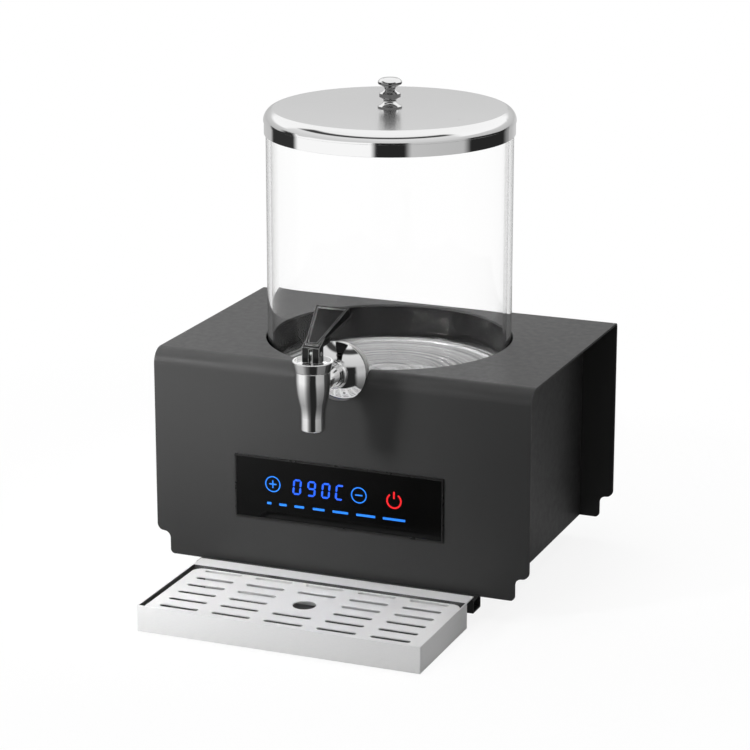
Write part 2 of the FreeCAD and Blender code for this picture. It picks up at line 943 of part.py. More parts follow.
def make_tray_grid():
    """The lift-out cover: a slotted plate whose front and back edges turn down to the floor."""
    body = new_body("tray_grid")
    t = d.tray_wall
    x = tray_half - t - d.grid_side_gap
    low_y = tray_front + t + d.grid_skirt_gap
    high_y = tray_back - t - d.grid_skirt_gap
    c = d.grid_corner
    plate = [
        ((-x + c, low_y), c, 1),
        (x - c, low_y),
        ((x, low_y + c), c, 1),
        (x, high_y - c),
        ((x - c, high_y), c, 1),
        (-x + c, high_y),
        ((-x, high_y - c), c, 1),
        (-x, low_y + c),
    ]
    pad(body, "plate", "XY", grid_top - t, t, [plate])
    foot = d.tray_floor_gap + t
    skirt_x = x - c
    pad(body, "skirts", "XY", foot, grid_top - foot,
        [rectangle((-skirt_x, low_y), (skirt_x, low_y + t)),
         rectangle((-skirt_x, high_y - t), (skirt_x, high_y))])
    middle = (tray_front + tray_back) / 2 + d.row_shift
    first = middle - d.row_pitch * 2.5
    slot_pitch = (x - d.slot_margin - d.slot_length / 2) / 2
    columns = [k * slot_pitch for k in (-2, -1, 1, 2)]
    sides = pocket(body, "side_slots", "XY", grid_top - t - 1, t + 2,
                   [slot_outline(across, first, d.slot_length, d.slot_width)
                    for across in columns])
    rows(body, sides, "V_Axis", d.row_pitch, 6)
    for name, start in (("front_slots", first), ("back_slots", middle + d.row_pitch * 1.5)):
        centre = pocket(body, name, "XY", grid_top - t - 1, t + 2,
                        [slot_outline(size(0), start, d.slot_length, d.slot_width)])
        rows(body, centre, "V_Axis", d.row_pitch, 2)
    pocket(body, "drain", "XY", grid_top - t - 1, t + 2, circles=[((0, middle), d.drain_radius)])
    return body


# Well and heater

def make_well_wall():
    body = new_body("well_wall", 0, axis_y, 0)
    r = d.well_radius
    t = d.well_wall_thickness
    low = ledge_top - t
    turned(body, "wall", [
        (r - d.well_ledge, low),
        (r + t, low),
        (r + t, inner_top - t),
        (r + t + d.well_flange, inner_top - t),
        (r + t + d.well_flange, inner_top),
        (r, inner_top),
        (r, ledge_top),
        (r - d.well_ledge, ledge_top),
    ])
    notch = d.notch_radius
    pocket(body, "notch", "XZ", -r - d.well_flange * 2, r, circles=[((0, tap_z), notch)])
    # The front of the flange is trimmed back to clear the wrap's rounded bend
    bend_end = front + d.front_bend - axis_y
    pocket(body, "bend_trim", "YZ", -r, 2 * r,
           [rectangle((bend_end - d.front_bend - 2, inner_top - d.bend_relief),
                      (bend_end, inner_top + 1))])
    return body


def make_heating_plate():
    """Pressed steel plate: an outer band, a groove and a flat middle, with three studs."""
    body = new_body("heating_plate", 0, axis_y, 0)
    rim = d.well_radius - d.base_gap
    band = rim - d.plate_band
    inner = band - d.plate_groove
    turned(body, "disc", [
        (0, plate_bottom),
        (rim, plate_bottom),
        (rim, plate_top),
        (band, plate_top),
        (band, plate_top - d.groove_depth),
        (inner, plate_top - d.groove_depth),
        (inner, plate_top),
        (0, plate_top),
    ])
    stud_low = shield_bottom - d.stud_reach
    pad(body, "studs", "XY", stud_low, plate_bottom - stud_low + 1,
        circles=[(xy, d.stud_radius) for xy in stud_places()])
    return body


def stud_places():
    """Three places round the plate's middle, seen from the plate's centre."""
    places = []
    for turn in (90, 210, 330):
        places.append((d.stud_circle * math.cos(math.radians(turn)),
                       d.stud_circle * math.sin(math.radians(turn))))
    return places


element_z = plate_bottom - d.element_radius
clamp_top = plate_bottom - 2 * d.element_radius
clamp_bottom = clamp_top - d.clamp_thickness
shield_top = clamp_bottom - d.insulation_thickness
shield_bottom = shield_top - d.shield_wall


def make_plate_seal():
    r = d.well_radius - d.base_gap
    at = (0, axis_y, ledge_top)
    outer = cylinder("seal_outer", r, d.seal_thickness, at)
    bore = cylinder("seal_bore", r - d.well_ledge + 1, d.seal_thickness + 2,
                    (0, axis_y, ledge_top - 1))
    node(cut("seal_cut", outer, [bore]), "plate_seal")


def make_heating_element():
    """A sheathed ring element with its two cold legs turned down."""
    ring = doc.addObject("Part::Torus", "element_torus")
    bind(ring, "Radius1", d.element_ring)
    bind(ring, "Radius2", d.element_radius)
    place(ring, 0, axis_y, element_z)
    x = d.element_leg_spread
    y = axis_y + root(d.element_ring * d.element_ring - x * x)
    legs = [
        cylinder("element_leg_%d" % i, d.element_radius - d.leg_taper, d.element_leg,
                 (side * x, y, element_z - d.element_leg))
        for i, side in enumerate((-1, 1))
    ]
    node(fuse("element_fuse", [ring] + legs), "heating_element")


def leg_bores(name, low, high):
    """Clear holes for the element's legs."""
    x = d.element_leg_spread
    y = axis_y + root(d.element_ring * d.element_ring - x * x)
    return [
        cylinder("%s_leg_bore_%d" % (name, i), d.element_radius + d.leg_gap, high - low + 2,
                 (side * x, y, low - 1))
        for i, side in enumerate((-1, 1))
    ]


def stacked_disc(label, radius, low, high, bore):
    """A round layer under the plate, drilled for the studs, the legs and the probe."""
    blank = cylinder(label + "_blank", radius, high - low, (0, axis_y, low))
    tools = leg_bores(label, low, high)
    tools.append(cylinder(label + "_bore", bore, high - low + 2, (0, axis_y, low - 1)))
    for i, (x, y) in enumerate(stud_places()):
        tools.append(cylinder("%s_stud_%d" % (label, i), d.stud_radius + d.screw_fit,
                              high - low + 2, (x, axis_y + y, low - 1)))
    return cut(label + "_drilled", blank, tools)


def make_heater_stack():
    probe_clear = d.probe_radius + d.probe_gap
    node(stacked_disc("element_clamp", d.clamp_radius, clamp_bottom, clamp_top, probe_clear),
         "element_clamp")
    node(stacked_disc("insulation_disc", d.insulation_radius, shield_top, clamp_bottom,
                      probe_clear), "insulation_disc")
    plate = stacked_disc("shield_plate", d.shield_radius, shield_bottom, shield_top, probe_clear)
    skirt = cylinder("shield_skirt", d.shield_radius, d.shield_skirt, (0, axis_y, shield_top))
    inside = cylinder("shield_inside", d.shield_radius - d.shield_wall, d.shield_skirt + 2,
                      (0, axis_y, shield_top - 1))
    shield = fuse("shield_fuse", [plate, cut("shield_ring", skirt, [inside])])
    taps = [
        cylinder("shield_tap_%d" % i, d.small_screw_radius, d.shield_wall + 2,
                 (x, y, shield_bottom - 1))
        for i, (x, y) in enumerate(cutout_screw_places())
    ]
    node(cut("shield_tapped", shield, taps), "heat_shield")
    nuts = []
    for i, (x, y) in enumerate(stud_places()):
        low = shield_bottom - d.stud_nut_height
        blank = prism("stud_nut_%d" % i, d.stud_nut, d.stud_nut_height, (x, axis_y + y, low))
        bore = cylinder("stud_nut_bore_%d" % i, d.stud_radius + d.thread_fit,
                        d.stud_nut_height + 2, (x, axis_y + y, low - 1))
        nuts.append(cut("stud_nut_cut_%d" % i, blank, [bore]))
    group("stud_nuts", nuts)
    probe = [
        cylinder("probe_rod", d.probe_radius, plate_bottom - shield_bottom + d.probe_nut,
                 (0, axis_y, shield_bottom - d.probe_nut)),
        prism("probe_hex", d.probe_flange, d.probe_nut,
              (0, axis_y, shield_bottom - d.probe_nut)),
        cylinder("probe_tail", d.probe_radius + d.probe_boot, d.probe_tail,
                 (0, axis_y, shield_bottom - d.probe_nut - d.probe_tail)),
    ]
    node(fuse("probe_fuse", probe), "temperature_probe")


def cutout_screw_places():
    reach = d.cutout_radius + d.cutout_ear
    return [(side * reach, axis_y - d.cutout_offset) for side in (-1, 1)]


def make_thermal_cutout():
    """A snap disc under the heat shield, held by two screws through its ears."""
    y = axis_y - d.cutout_offset
    low = shield_bottom - d.cutout_height
    tab_low = shield_bottom - d.cutout_tab
    end_x = d.cutout_radius + d.cutout_ear + d.cutout_ear_end
    button = cylinder("cutout_body", d.cutout_radius, d.cutout_height, (0, y, low))
    ears = box("cutout_ears", (-end_x, y - d.cutout_ear, tab_low),
               (end_x, y + d.cutout_ear, shield_bottom))
    half = d.blade_half_width
    blades = [
        box("cutout_blade_%d" % i, (x - half, y - d.blade_wall / 2, low - d.blade_length),
            (x + half, y + d.blade_wall / 2, low))
        for i, x in enumerate((-d.blade_offset, d.blade_offset))
    ]
    bores = [
        cylinder("cutout_bore_%d" % i, d.small_screw_radius + d.screw_fit, d.cutout_tab + 2,
                 (*xy, tab_low - 1))
        for i, xy in enumerate(cutout_screw_places())
    ]
    node(cut("cutout_drilled", fuse("cutout_fuse", [button, ears] + blades), bores),
         "thermal_cutout")
    group("cutout_screws", [
        screw("cutout_screw_%d" % i, SMALL_SCREW, (*xy, tab_low), "Z",
              d.cutout_tab + d.shield_wall)
        for i, xy in enumerate(cutout_screw_places())
    ])


# Vessel and lid

vessel_low = plate_top
vessel_rim = vessel_low + d.vessel_height
lid_low = vessel_rim - d.lid_drop
shank_y = root(d.vessel_radius * d.vessel_radius - d.washer_radius * d.washer_radius)


def make_vessel():
    """The clear vessel, with a flat pad inside and out where the tap goes through."""
    body = new_body("vessel", 0, axis_y, 0)
    r = d.vessel_radius
    inner = r - d.vessel_wall
    floor = vessel_low + d.vessel_floor
    turned(body, "shell", [
        (0, vessel_low),
        (r - d.vessel_corner, vessel_low),
        ((r, vessel_low + d.vessel_corner), d.vessel_corner, 1),
        (r, vessel_rim),
        (inner, vessel_rim),
        (inner, floor + d.vessel_cove),
        ((inner - d.vessel_cove, floor), d.vessel_cove, -1),
        (0, floor),
    ])
    pad(body, "tap_pad", "XZ", -inner - 1, d.tap_pad + 1,
        circles=[((0, tap_z), d.inner_washer_radius + 1)])
    pocket(body, "tap_hole", "XZ", -r - 1, d.vessel_wall + 8,
           circles=[((0, tap_z), d.shank_radius + d.tap_hole_gap)])
    return body


def make_lid():
    """A pressed chrome lid: shallow crown, round shoulder and a band over the vessel's rim."""
    body = new_body("lid_shell", 0, axis_y, 0)
    t = d.lid_wall
    band_in = d.vessel_radius + d.lid_gap
    band = band_in + t
    bead = band + d.lid_bead
    low = lid_low
    band_top = low + d.lid_band
    edge = bead - d.lid_shoulder
    rim = band_top + d.lid_rise
    crown = (edge * edge + d.lid_crown * d.lid_crown) / (2 * d.lid_crown)
    inner_edge = edge - t / 2
    turned(body, "shell", [
        (0, rim + d.lid_crown - t),
        ((inner_edge, rim - t), crown - t, -1),
        ((bead - t, band_top + d.lid_roll), d.lid_rise, -1),
        (bead - t, band_top + t),
        (band_in, band_top + t),
        (band_in, low),
        (band, low),
        (band, band_top),
        (bead, band_top),
        (bead, band_top + d.lid_roll),
        ((edge, rim), d.lid_rise, 1),
        ((0, rim + d.lid_crown), crown, 1),
    ])
    vents = [
        ((d.lid_vent_x + k * d.lid_vent_pitch * 0.6, d.lid_vent_y + k * d.lid_vent_pitch),
         d.lid_vent_radius)
        for k in (-1, 0, 1)
    ]
    pocket(body, "steam_holes", "XY", rim - t - 4, t + d.lid_crown + 8, circles=vents)
    pocket(body, "knob_hole", "XY", rim - t - 4, t + d.lid_crown + 8,
           circles=[((0, 0), d.knob_screw_radius + d.screw_fit)])
    return body


crown_z = lid_low + d.lid_band + d.lid_rise + d.lid_crown


def make_lid_seal():
    """A silicone ring inside the band, resting on the vessel's rim."""
    outer = d.vessel_radius + d.lid_gap - d.lid_seal_gap
    at = (0, axis_y, vessel_rim)
    ring = cylinder("lid_ring_outer", outer, d.lid_seal_height, at)
    bore = cylinder("lid_ring_bore", outer - d.lid_seal_width, d.lid_seal_height + 2,
                    (0, axis_y, vessel_rim - 1))
    node(cut("lid_ring_cut", ring, [bore]), "lid_seal")


def make_knob():
    """A turned knob: flared foot, collar, waist and a rounded cap."""
    body = new_body("lid_knob", 0, axis_y, crown_z)
    waist = d.knob_waist
    throat = waist + d.knob_throat
    h = d.knob_height
    collar = d.knob_collar
    cap = d.knob_cap
    edge = d.knob_cap_edge
    button = cap - d.knob_button_inset
    rise = d.knob_button_rise
    dome = (button * button + rise * rise) / (2 * rise)
    turned(body, "turning", [
        (0, 0),
        (d.knob_base, 0),
        (d.knob_base, d.knob_foot),
        ((throat, d.knob_flare_top), d.knob_flare, -1),
        (throat, d.knob_flare_top + d.knob_throat),
        (collar, d.knob_collar_low),
        (collar, d.knob_collar_high),
        (waist + 2 * d.knob_throat, d.knob_groove_low),
        (waist, d.knob_groove),
        (throat, d.knob_groove_high),
        (cap - edge, d.knob_cap_low),
        ((cap, d.knob_cap_low + edge), edge, 1),
        (cap, h - d.knob_cap_shoulder),
        ((button, h - rise), d.knob_cap_round, 1),
        ((0, h), dome, 1),
    ])
    pocket(body, "tapped_hole", "XY", -1, d.knob_screw_depth + 1,
           circles=[((0, 0), d.knob_screw_radius)])
    kind = (d.knob_screw_radius, d.knob_screw_head, d.knob_screw_head_height)
    under = (0, axis_y, crown_z - d.lid_wall - d.knob_screw_gap)
    node(screw("knob_screw_fuse", kind, under, "Z", d.knob_screw_depth - d.knob_screw_slack),
         "knob_screw")


# Tap

body_top_z = tap_z + d.body_top
bonnet_top = body_top_z + d.bonnet_height
dish_z = bonnet_top - d.bonnet_dish
roof_z = dish_z - d.bonnet_wall
neck_top_z = roof_z - 2 * d.ring_radius
seat_z = tap_z - d.seat_drop
waist_z = tap_z - d.body_waist
nozzle_z = waist_z - d.nozzle_length
pin_z = bonnet_top + d.pin_height
vessel_inner = d.vessel_radius - d.vessel_wall
wall_y = axis_y - d.vessel_radius
inner_wall_y = axis_y - vessel_inner + d.tap_pad
washer_front = wall_y - d.washer_thickness
rosette_back = front - d.panel_gap


def make_tap_body():
    """The chrome casting: a tapered barrel, its nozzle and the threaded shank."""
    body = new_body("tap_body", 0, tap_y, 0)
    neck = d.chamber_radius + d.thread_wall
    shoulder_z = tap_z + d.body_shoulder
    swell = d.body_radius - d.nozzle_radius
    rise = shoulder_z - waist_z
    # Two arcs that meet a third of the way up make the taper's S-curve
    bend = (swell * swell + rise * rise) / (6 * swell)
    turned(body, "barrel", [
        (d.outlet_bore, nozzle_z),
        (d.nozzle_radius - d.edge_round, nozzle_z),
        ((d.nozzle_radius, nozzle_z + d.edge_round), d.edge_round, 1),
        (d.nozzle_radius, waist_z),
        ((d.nozzle_radius + swell / 3, waist_z + rise / 3), bend, -1),
        ((d.body_radius, shoulder_z), 2 * bend, 1),
        (d.body_radius, body_top_z),
        (neck, body_top_z),
        (neck, neck_top_z),
        (d.chamber_radius, neck_top_z),
        (d.chamber_radius, seat_z),
        (d.outlet_bore, seat_z),
    ])
    shank_end = inner_wall_y + d.shank_inside - tap_y
    start = d.chamber_radius + d.thread_wall
    pad(body, "shank", "XZ", start, shank_end - start, circles=[((0, tap_z), d.shank_radius)])
    pocket(body, "waterway", "XZ", 0, shank_end + 1, circles=[((0, tap_z), d.shank_bore)])
    return body


def make_bonnet():
    """The screwed cap over the barrel, dished on top and bored for the stem."""
    body = new_body("tap_bonnet", 0, tap_y, 0)
    inner = d.chamber_radius + d.thread_wall + d.thread_fit
    bore = d.stem_radius + d.stem_fit
    chamfer = d.bonnet_chamfer
    edge = d.edge_round
    dish = d.bonnet_radius - d.bonnet_rim
    turned(body, "cap", [
        (inner, body_top_z),
        (d.bonnet_foot - chamfer, body_top_z),
        (d.bonnet_foot, body_top_z + chamfer),
        (d.bonnet_radius, bonnet_top - edge),
        ((d.bonnet_radius - edge, bonnet_top), edge, 1),
        (dish, bonnet_top),
        (dish, dish_z),
        (bore, dish_z),
        (bore, roof_z),
        (inner, roof_z),
    ])
    seal = doc.addObject("Part::Torus", "bonnet_ring")
    bind(seal, "Radius1", inner - d.ring_radius - d.thread_fit)
    bind(seal, "Radius2", d.ring_radius)
    node(place(seal, 0, tap_y, neck_top_z + d.ring_radius), "bonnet_seal")


def make_rosette():
    """The hollow dome that covers the notch, with a hub that presses on the outer washer."""
    body = new_body("tap_rosette")
    r = d.rosette_radius
    dome = d.rosette_dome
    inside = dome - d.rosette_wall
    bore = d.shank_radius + d.sliding_fit
    hub = bore + d.hub_wall
    collar = hub - d.hub_step
    boss = d.rosette_boss
    # Turned upright and then laid down, so that its height runs towards the back
    centre = root(dome * dome - r * r)
    neck_depth = root(dome * dome - hub * hub) - centre
    rim_inside = root(inside * inside - centre * centre)
    hub_inside = root(inside * inside - hub * hub) - centre
    turned(body, "dome", [
        (bore, -neck_depth - boss),
        (collar - d.hub_round, -neck_depth - boss),
        ((collar, d.hub_round - neck_depth - boss), d.hub_round, 1),
        (collar, -neck_depth),
        (hub, -neck_depth),
        ((r, 0), dome, 1),
        (rim_inside, 0),
        ((hub, -hub_inside), inside, -1),
        (hub, washer_front - rosette_back),
        (bore, washer_front - rosette_back),
    ])
    return place(body, 0, rosette_back, tap_z, (1, 0, 0), -90)


def make_tap_fixing():
    """The washers either side of the vessel's wall and the nut that draws them together."""
    hole = d.shank_radius + d.sliding_fit
    edge = axis_y - shank_y
    blank = cylinder("outer_washer_blank", d.washer_radius, edge - washer_front,
                     (0, washer_front, tap_z), "Y")
    # Its far face follows the vessel's round wall
    wall = cylinder("outer_washer_wall", d.vessel_radius + d.sliding_fit, 4 * d.washer_radius,
                    (0, axis_y, tap_z - 2 * d.washer_radius))
    bore = cylinder("outer_washer_bore", hole, edge - washer_front + 2,
                    (0, washer_front - 1, tap_z), "Y")
    node(cut("outer_washer_cut", blank, [bore, wall]), "outer_washer")
    nut_y = inner_wall_y + d.washer_thickness
    blank = cylinder("inner_washer_blank", d.inner_washer_radius, d.washer_thickness,
                     (0, inner_wall_y, tap_z), "Y")
    bore = cylinder("inner_washer_bore", hole, d.washer_thickness + 2,
                    (0, inner_wall_y - 1, tap_z), "Y")
    node(cut("inner_washer_cut", blank, [bore]), "inner_washer")
    blank = prism("tap_nut_blank", d.nut_radius, d.nut_length, (0, nut_y, tap_z), "Y")
    bore = cylinder("tap_nut_bore", hole, d.nut_length + 2, (0, nut_y - 1, tap_z), "Y")
    node(cut("tap_nut_cut", blank, [bore]), "tap_nut")


def make_stem():
    """The valve stem: a rod with a flat eye for the lever's pin and a collar for the spring."""
    rod_low = seat_z + d.cup_socket
    collar_z = seat_z + d.cup_height
    eye_r = d.pin_radius + d.eye_wall
    # The tongue starts inside the bonnet's bore, below the sweep of the lever's fork
    tongue_z = roof_z + d.tongue_gap
    rod = cylinder("stem_rod", d.stem_radius, tongue_z + d.tongue_lap - rod_low,
                   (0, tap_y, rod_low))
    collar = cylinder("stem_collar", d.spring_radius + d.collar_lap, d.collar_height,
                      (0, tap_y, collar_z))
    eye_w = d.eye_half_width
    tongue_half = root(d.stem_radius * d.stem_radius - eye_w * eye_w)
    tongue = box("stem_tongue", (-eye_w, tap_y - tongue_half, tongue_z),
                 (eye_w, tap_y + tongue_half, pin_z))
    eye = cylinder("stem_eye", eye_r, 2 * eye_w, (-eye_w, tap_y, pin_z), "X")
    hole = cylinder("stem_eye_hole", d.pin_radius + d.pin_fit, 2 * eye_w + 2,
                    (-eye_w - 1, tap_y, pin_z), "X")
    solid = fuse("stem_fuse", [rod, collar, tongue, eye])
    node(cut("stem_cut", solid, [hole]), "tap_stem")
    cup = cylinder("cup_blank", d.cup_radius, d.cup_height, (0, tap_y, seat_z))
    socket = cylinder("cup_bore", d.stem_radius + d.sliding_fit, d.cup_height,
                      (0, tap_y, rod_low))
    node(cut("cup_cut", cup, [socket]), "seat_cup")


def make_spring():
    """The closing spring between the stem's collar and the bonnet."""
    low = seat_z + d.cup_height + d.collar_height + d.spring_wire
    high = roof_z - d.spring_wire
    turns = int(round(d.spring_turns.value))
    pitch = (high.value - low.value) / turns
    radius = d.spring_radius.value
    helix = Part.makeHelix(pitch, high.value - low.value, radius)
    wire = Part.Wire(helix.Edges)
    circle = Part.Circle(V(radius, 0, 0), V(0, 1, pitch / (2 * math.pi * radius)),
                         d.spring_wire.value)
    profile = Part.Wire([circle.toShape()])
    spring = doc.addObject("Part::Feature", "spring_coil")
    spring.Shape = wire.makePipeShell([profile], True, True)
    spring.Placement = FreeCAD.Placement(V(0, tap_y.value, low.value), FreeCAD.Rotation())
    node(spring, "tap_spring")


def tapered(name, root_y, tip_y, root_half, tip_half, low_root, low_tip, high):
    """A block that widens along the lever."""
    thing = doc.addObject("Part::Wedge", name)
    for prop, amount in (("Ymin", root_y), ("Ymax", tip_y), ("Xmin", -root_half),
                         ("Xmax", root_half), ("X2min", -tip_half), ("X2max", tip_half),
                         ("Zmin", low_root), ("Zmax", high), ("Z2min", low_tip),
                         ("Z2max", high)):
        bind(thing, prop, amount)
    return place(thing, 0, tap_y, pin_z, (1, 0, 0), d.lever_tilt.value)


def make_lever():
    """The black lever: a widening paddle with a sunk face on a forked hub."""
    face = d.lever_offset
    tip = d.lever_root + d.lever_length
    edge = d.lever_border
    floor = face - d.lever_recess
    paddle = tapered("lever_paddle", d.lever_root, tip, d.lever_root_half_width,
                     d.lever_tip_half_width, face - d.lever_root_thickness,
                     face - d.lever_tip_thickness, face)
    sunk = tapered("lever_sunk_face", d.lever_root + edge, tip - edge,
                   d.lever_root_half_width - d.lever_border_root, d.lever_tip_half_width - edge,
                   floor, floor, face + 1)
    lean = d.lever_tilt
    under = floor - d.lever_floor

    def slope(y):
        return (under + y * sine(lean)) / cosine(lean)

    depth = d.yoke_half_depth
    foot = dish_z + d.yoke_rest_gap - pin_z
    wide = d.yoke_half_width
    hub = doc.addObject("PartDesign::Body", "lever_hub")
    place(hub, 0, tap_y, pin_z)
    pad(hub, "hub_block", "YZ", -wide, 2 * wide, [[
        (-depth, foot),
        (-depth, slope(-depth)),
        (d.lever_gusset, slope(d.lever_gusset)),
        (d.lever_gusset, d.lever_gusset_rise),
        (depth, d.lever_gusset_rise),
        (depth, foot),
    ]])
    gap = d.eye_half_width + d.yoke_gap
    reach = d.pin_radius + d.eye_wall + d.yoke_swing_gap
    slot = box("lever_slot", (-gap, tap_y - depth - 1, pin_z + foot - 1),
               (gap, tap_y + depth + 1, pin_z + reach))
    hole = cylinder("lever_hole", d.pin_radius + d.pin_fit, 2 * wide + 2,
                    (-wide - 1, tap_y, pin_z), "X")
    node(cut("lever_cut", fuse("lever_fuse", [paddle, hub]), [sunk, slot, hole]), "tap_handle")
    pin_half = wide + d.pin_end
    node(cylinder("lever_pin", d.pin_radius, 2 * pin_half, (-pin_half, tap_y, pin_z), "X"),
         "handle_pin")


# Display

def make_display():
    half_x = d.display_width / 2
    low = base_z + d.display_rise
    high = low + d.display_height
    face = front - d.bezel_proud
    lap = d.bezel_overlap
    lip = d.bezel_lip
    ledge = d.bezel_ledge
    rear = front + d.bezel_depth
    glass_front = face + d.glass_sink
    glass_back = glass_front + d.glass_thickness
    flange = box("bezel_flange", (-half_x, face, low), (half_x, front, high))
    neck = box("bezel_neck", (-half_x + lap, front, low + lap), (half_x - lap, rear, high - lap))
    seat = box("bezel_seat", (-half_x + lip, face - 1, low + lip),
               (half_x - lip, glass_back, high - lip))
    through = box("bezel_through", (-half_x + lip + ledge, face - 1, low + lip + ledge),
                  (half_x - lip - ledge, rear + 1, high - lip - ledge))
    catches = []
    for i, x in enumerate((-1, 0, 1)):
        across = x * d.display_width / 3
        for j, (z0, z1) in enumerate(((low + lap - d.bezel_catch, low + lap),
                                      (high - lap, high - lap + d.bezel_catch))):
            catches.append(box("bezel_catch_%d_%d" % (i, j),
                               (across - d.catch_half_width, inner_front, z0),
                               (across + d.catch_half_width, rear - d.catch_end, z1)))
    solid = fuse("bezel_fuse", [flange, neck] + catches)
    node(cut("bezel_cut", solid, [seat, through]), "display_bezel")
    fit = d.glass_fit
    glass = box("glass_block", (-half_x + lip + fit, glass_front, low + lip + fit),
                (half_x - lip - fit, glass_back, high - lip - fit))
    node(glass, "display_glass")
    inset = lap + d.board_gap
    board = box("display_board_blank", (-half_x + inset, rear, low + inset),
                (half_x - inset, rear + d.board_thickness, high - inset))
    corner_x = half_x - lap - ledge / 2
    corner_z = lap + ledge / 2
    places = [(sx * corner_x, z) for sx in (-1, 1) for z in (low + corner_z, high - corner_z)]
    bores = [
        cylinder("display_board_bore_%d" % i, d.small_screw_radius + d.screw_fit, 6.0,
                 (x, rear - 1, z), "Y")
        for i, (x, z) in enumerate(places)
    ]
    node(cut("display_board_cut", board, bores), "display_board")
    screws = [
        screw("display_screw_%d" % i, SMALL_SCREW, (x, rear + d.board_thickness, z), "Y",
              d.board_thickness, -1)
        for i, (x, z) in enumerate(places)
    ]
    group("display_screws", screws)
    socket_y = rear + d.board_thickness
    socket_z = low + d.display_socket_rise
    node(box("display_socket_box", (-d.display_socket_half, socket_y, socket_z),
             (d.display_socket_half, socket_y + d.display_socket_depth,
              socket_z + d.display_socket_height)), "display_socket")


# Control electronics

def standoff_places():
    x0 = control_x
    y0 = front + d.control_back + d.control_depth / 2
    dx = d.control_width / 2 - d.standoff_inset
    dy = d.control_depth / 2 - d.standoff_inset
    return [(x0 + sx * dx, y0 + sy * dy) for sx in (-1, 1) for sy in (-1, 1)]


def terminal_screw_places():
    y = front + d.terminal_back
    reach = d.terminal_width / 2 + d.terminal_ear / 2
    return [(terminal_x + side * reach, y) for side in (-1, 1)]


def make_electronics():
    board_z = deck_z + d.standoff_height
    board_top = board_z + d.board_thickness
    posts = []
    post_screws = []
    foot_screws = []
    for i, (x, y) in enumerate(standoff_places()):
        post = cylinder("standoff_blank_%d" % i, d.standoff_radius, d.standoff_height,
                        (x, y, deck_z))
        bore = cylinder("standoff_bore_%d" % i, d.small_screw_radius, d.standoff_height + 2,
                        (x, y, deck_z - 1))
        posts.append(cut("standoff_%d" % i, post, [bore]))
        post_screws.append(screw("board_screw_%d" % i, SMALL_SCREW, (x, y, board_top), "Z",
                                 d.board_thickness + d.screw_reach, -1))
        foot_screws.append(screw("post_screw_%d" % i, SMALL_SCREW, (x, y, floor_z), "Z",
                                 d.side_wall + d.screw_reach * 0.75))
    group("board_posts", posts)
    group("board_screws", post_screws + foot_screws)
    x0 = control_x - d.control_width / 2
    x1 = control_x + d.control_width / 2
    y0 = front + d.control_back
    y1 = y0 + d.control_depth
    blank = box("control_blank", (x0, y0, board_z), (x1, y1, board_top))
    bores = [
        cylinder("control_bore_%d" % i, d.small_screw_radius + d.screw_fit, 6.0,
                 (x, y, board_z - 2))
        for i, (x, y) in enumerate(standoff_places())
    ]
    node(cut("control_cut", blank, bores), "control_board")
    inset = d.part_inset
    tx = x0 + inset
    ty = y0 + inset
    core = box("transformer_core", (tx, ty, board_top),
               (tx + d.transformer_width, ty + d.transformer_depth,
                board_top + d.transformer_height))
    node(core, "transformer")
    rx = x1 - inset - d.relay_width
    ry = y1 - inset - d.relay_depth
    relay = box("relay_case", (rx, ry, board_top),
                (rx + d.relay_width, ry + d.relay_depth, board_top + d.relay_height))
    node(relay, "heater_relay")
    chip_x = rx - d.chip_gap
    chip = box("chip_case", (chip_x - d.chip_width, ty, board_top),
               (chip_x, ty + d.chip_depth, board_top + d.chip_height))
    node(chip, "control_chip")
    link_x = x1 - inset + d.screw_reach
    link_y = y0 + d.link_edge
    link = box("link_case", (link_x - d.link_width, link_y, board_top),
               (link_x, link_y + d.link_depth, board_top + d.link_height))
    node(link, "board_socket")
    w = d.terminal_width / 2
    ear = d.terminal_ear
    ear_top = deck_z + d.terminal_ear_height
    y = front + d.terminal_back
    block = box("terminal_block_case", (terminal_x - w, y - d.terminal_depth / 2, deck_z),
                (terminal_x + w, y + d.terminal_depth / 2, deck_z + d.terminal_height))
    ears = box("terminal_ears", (terminal_x - w - ear, y - d.terminal_ear_depth / 2, deck_z),
               (terminal_x + w + ear, y + d.terminal_ear_depth / 2, ear_top))
    bores = [
        cylinder("terminal_bore_%d" % i, d.screw_radius + d.screw_fit, ear_top - deck_z + 2,
                 (*xy, deck_z - 1))
        for i, xy in enumerate(terminal_screw_places())
    ]
    node(cut("terminal_cut", fuse("terminal_fuse", [block, ears]), bores), "terminal_block")
    screws = [
        screw("terminal_screw_%d" % i, SCREW, (*xy, ear_top), "Z",
              ear_top - floor_z + d.screw_reach / 2, -1)
        for i, xy in enumerate(terminal_screw_places())
    ]
    group("terminal_screws", screws)


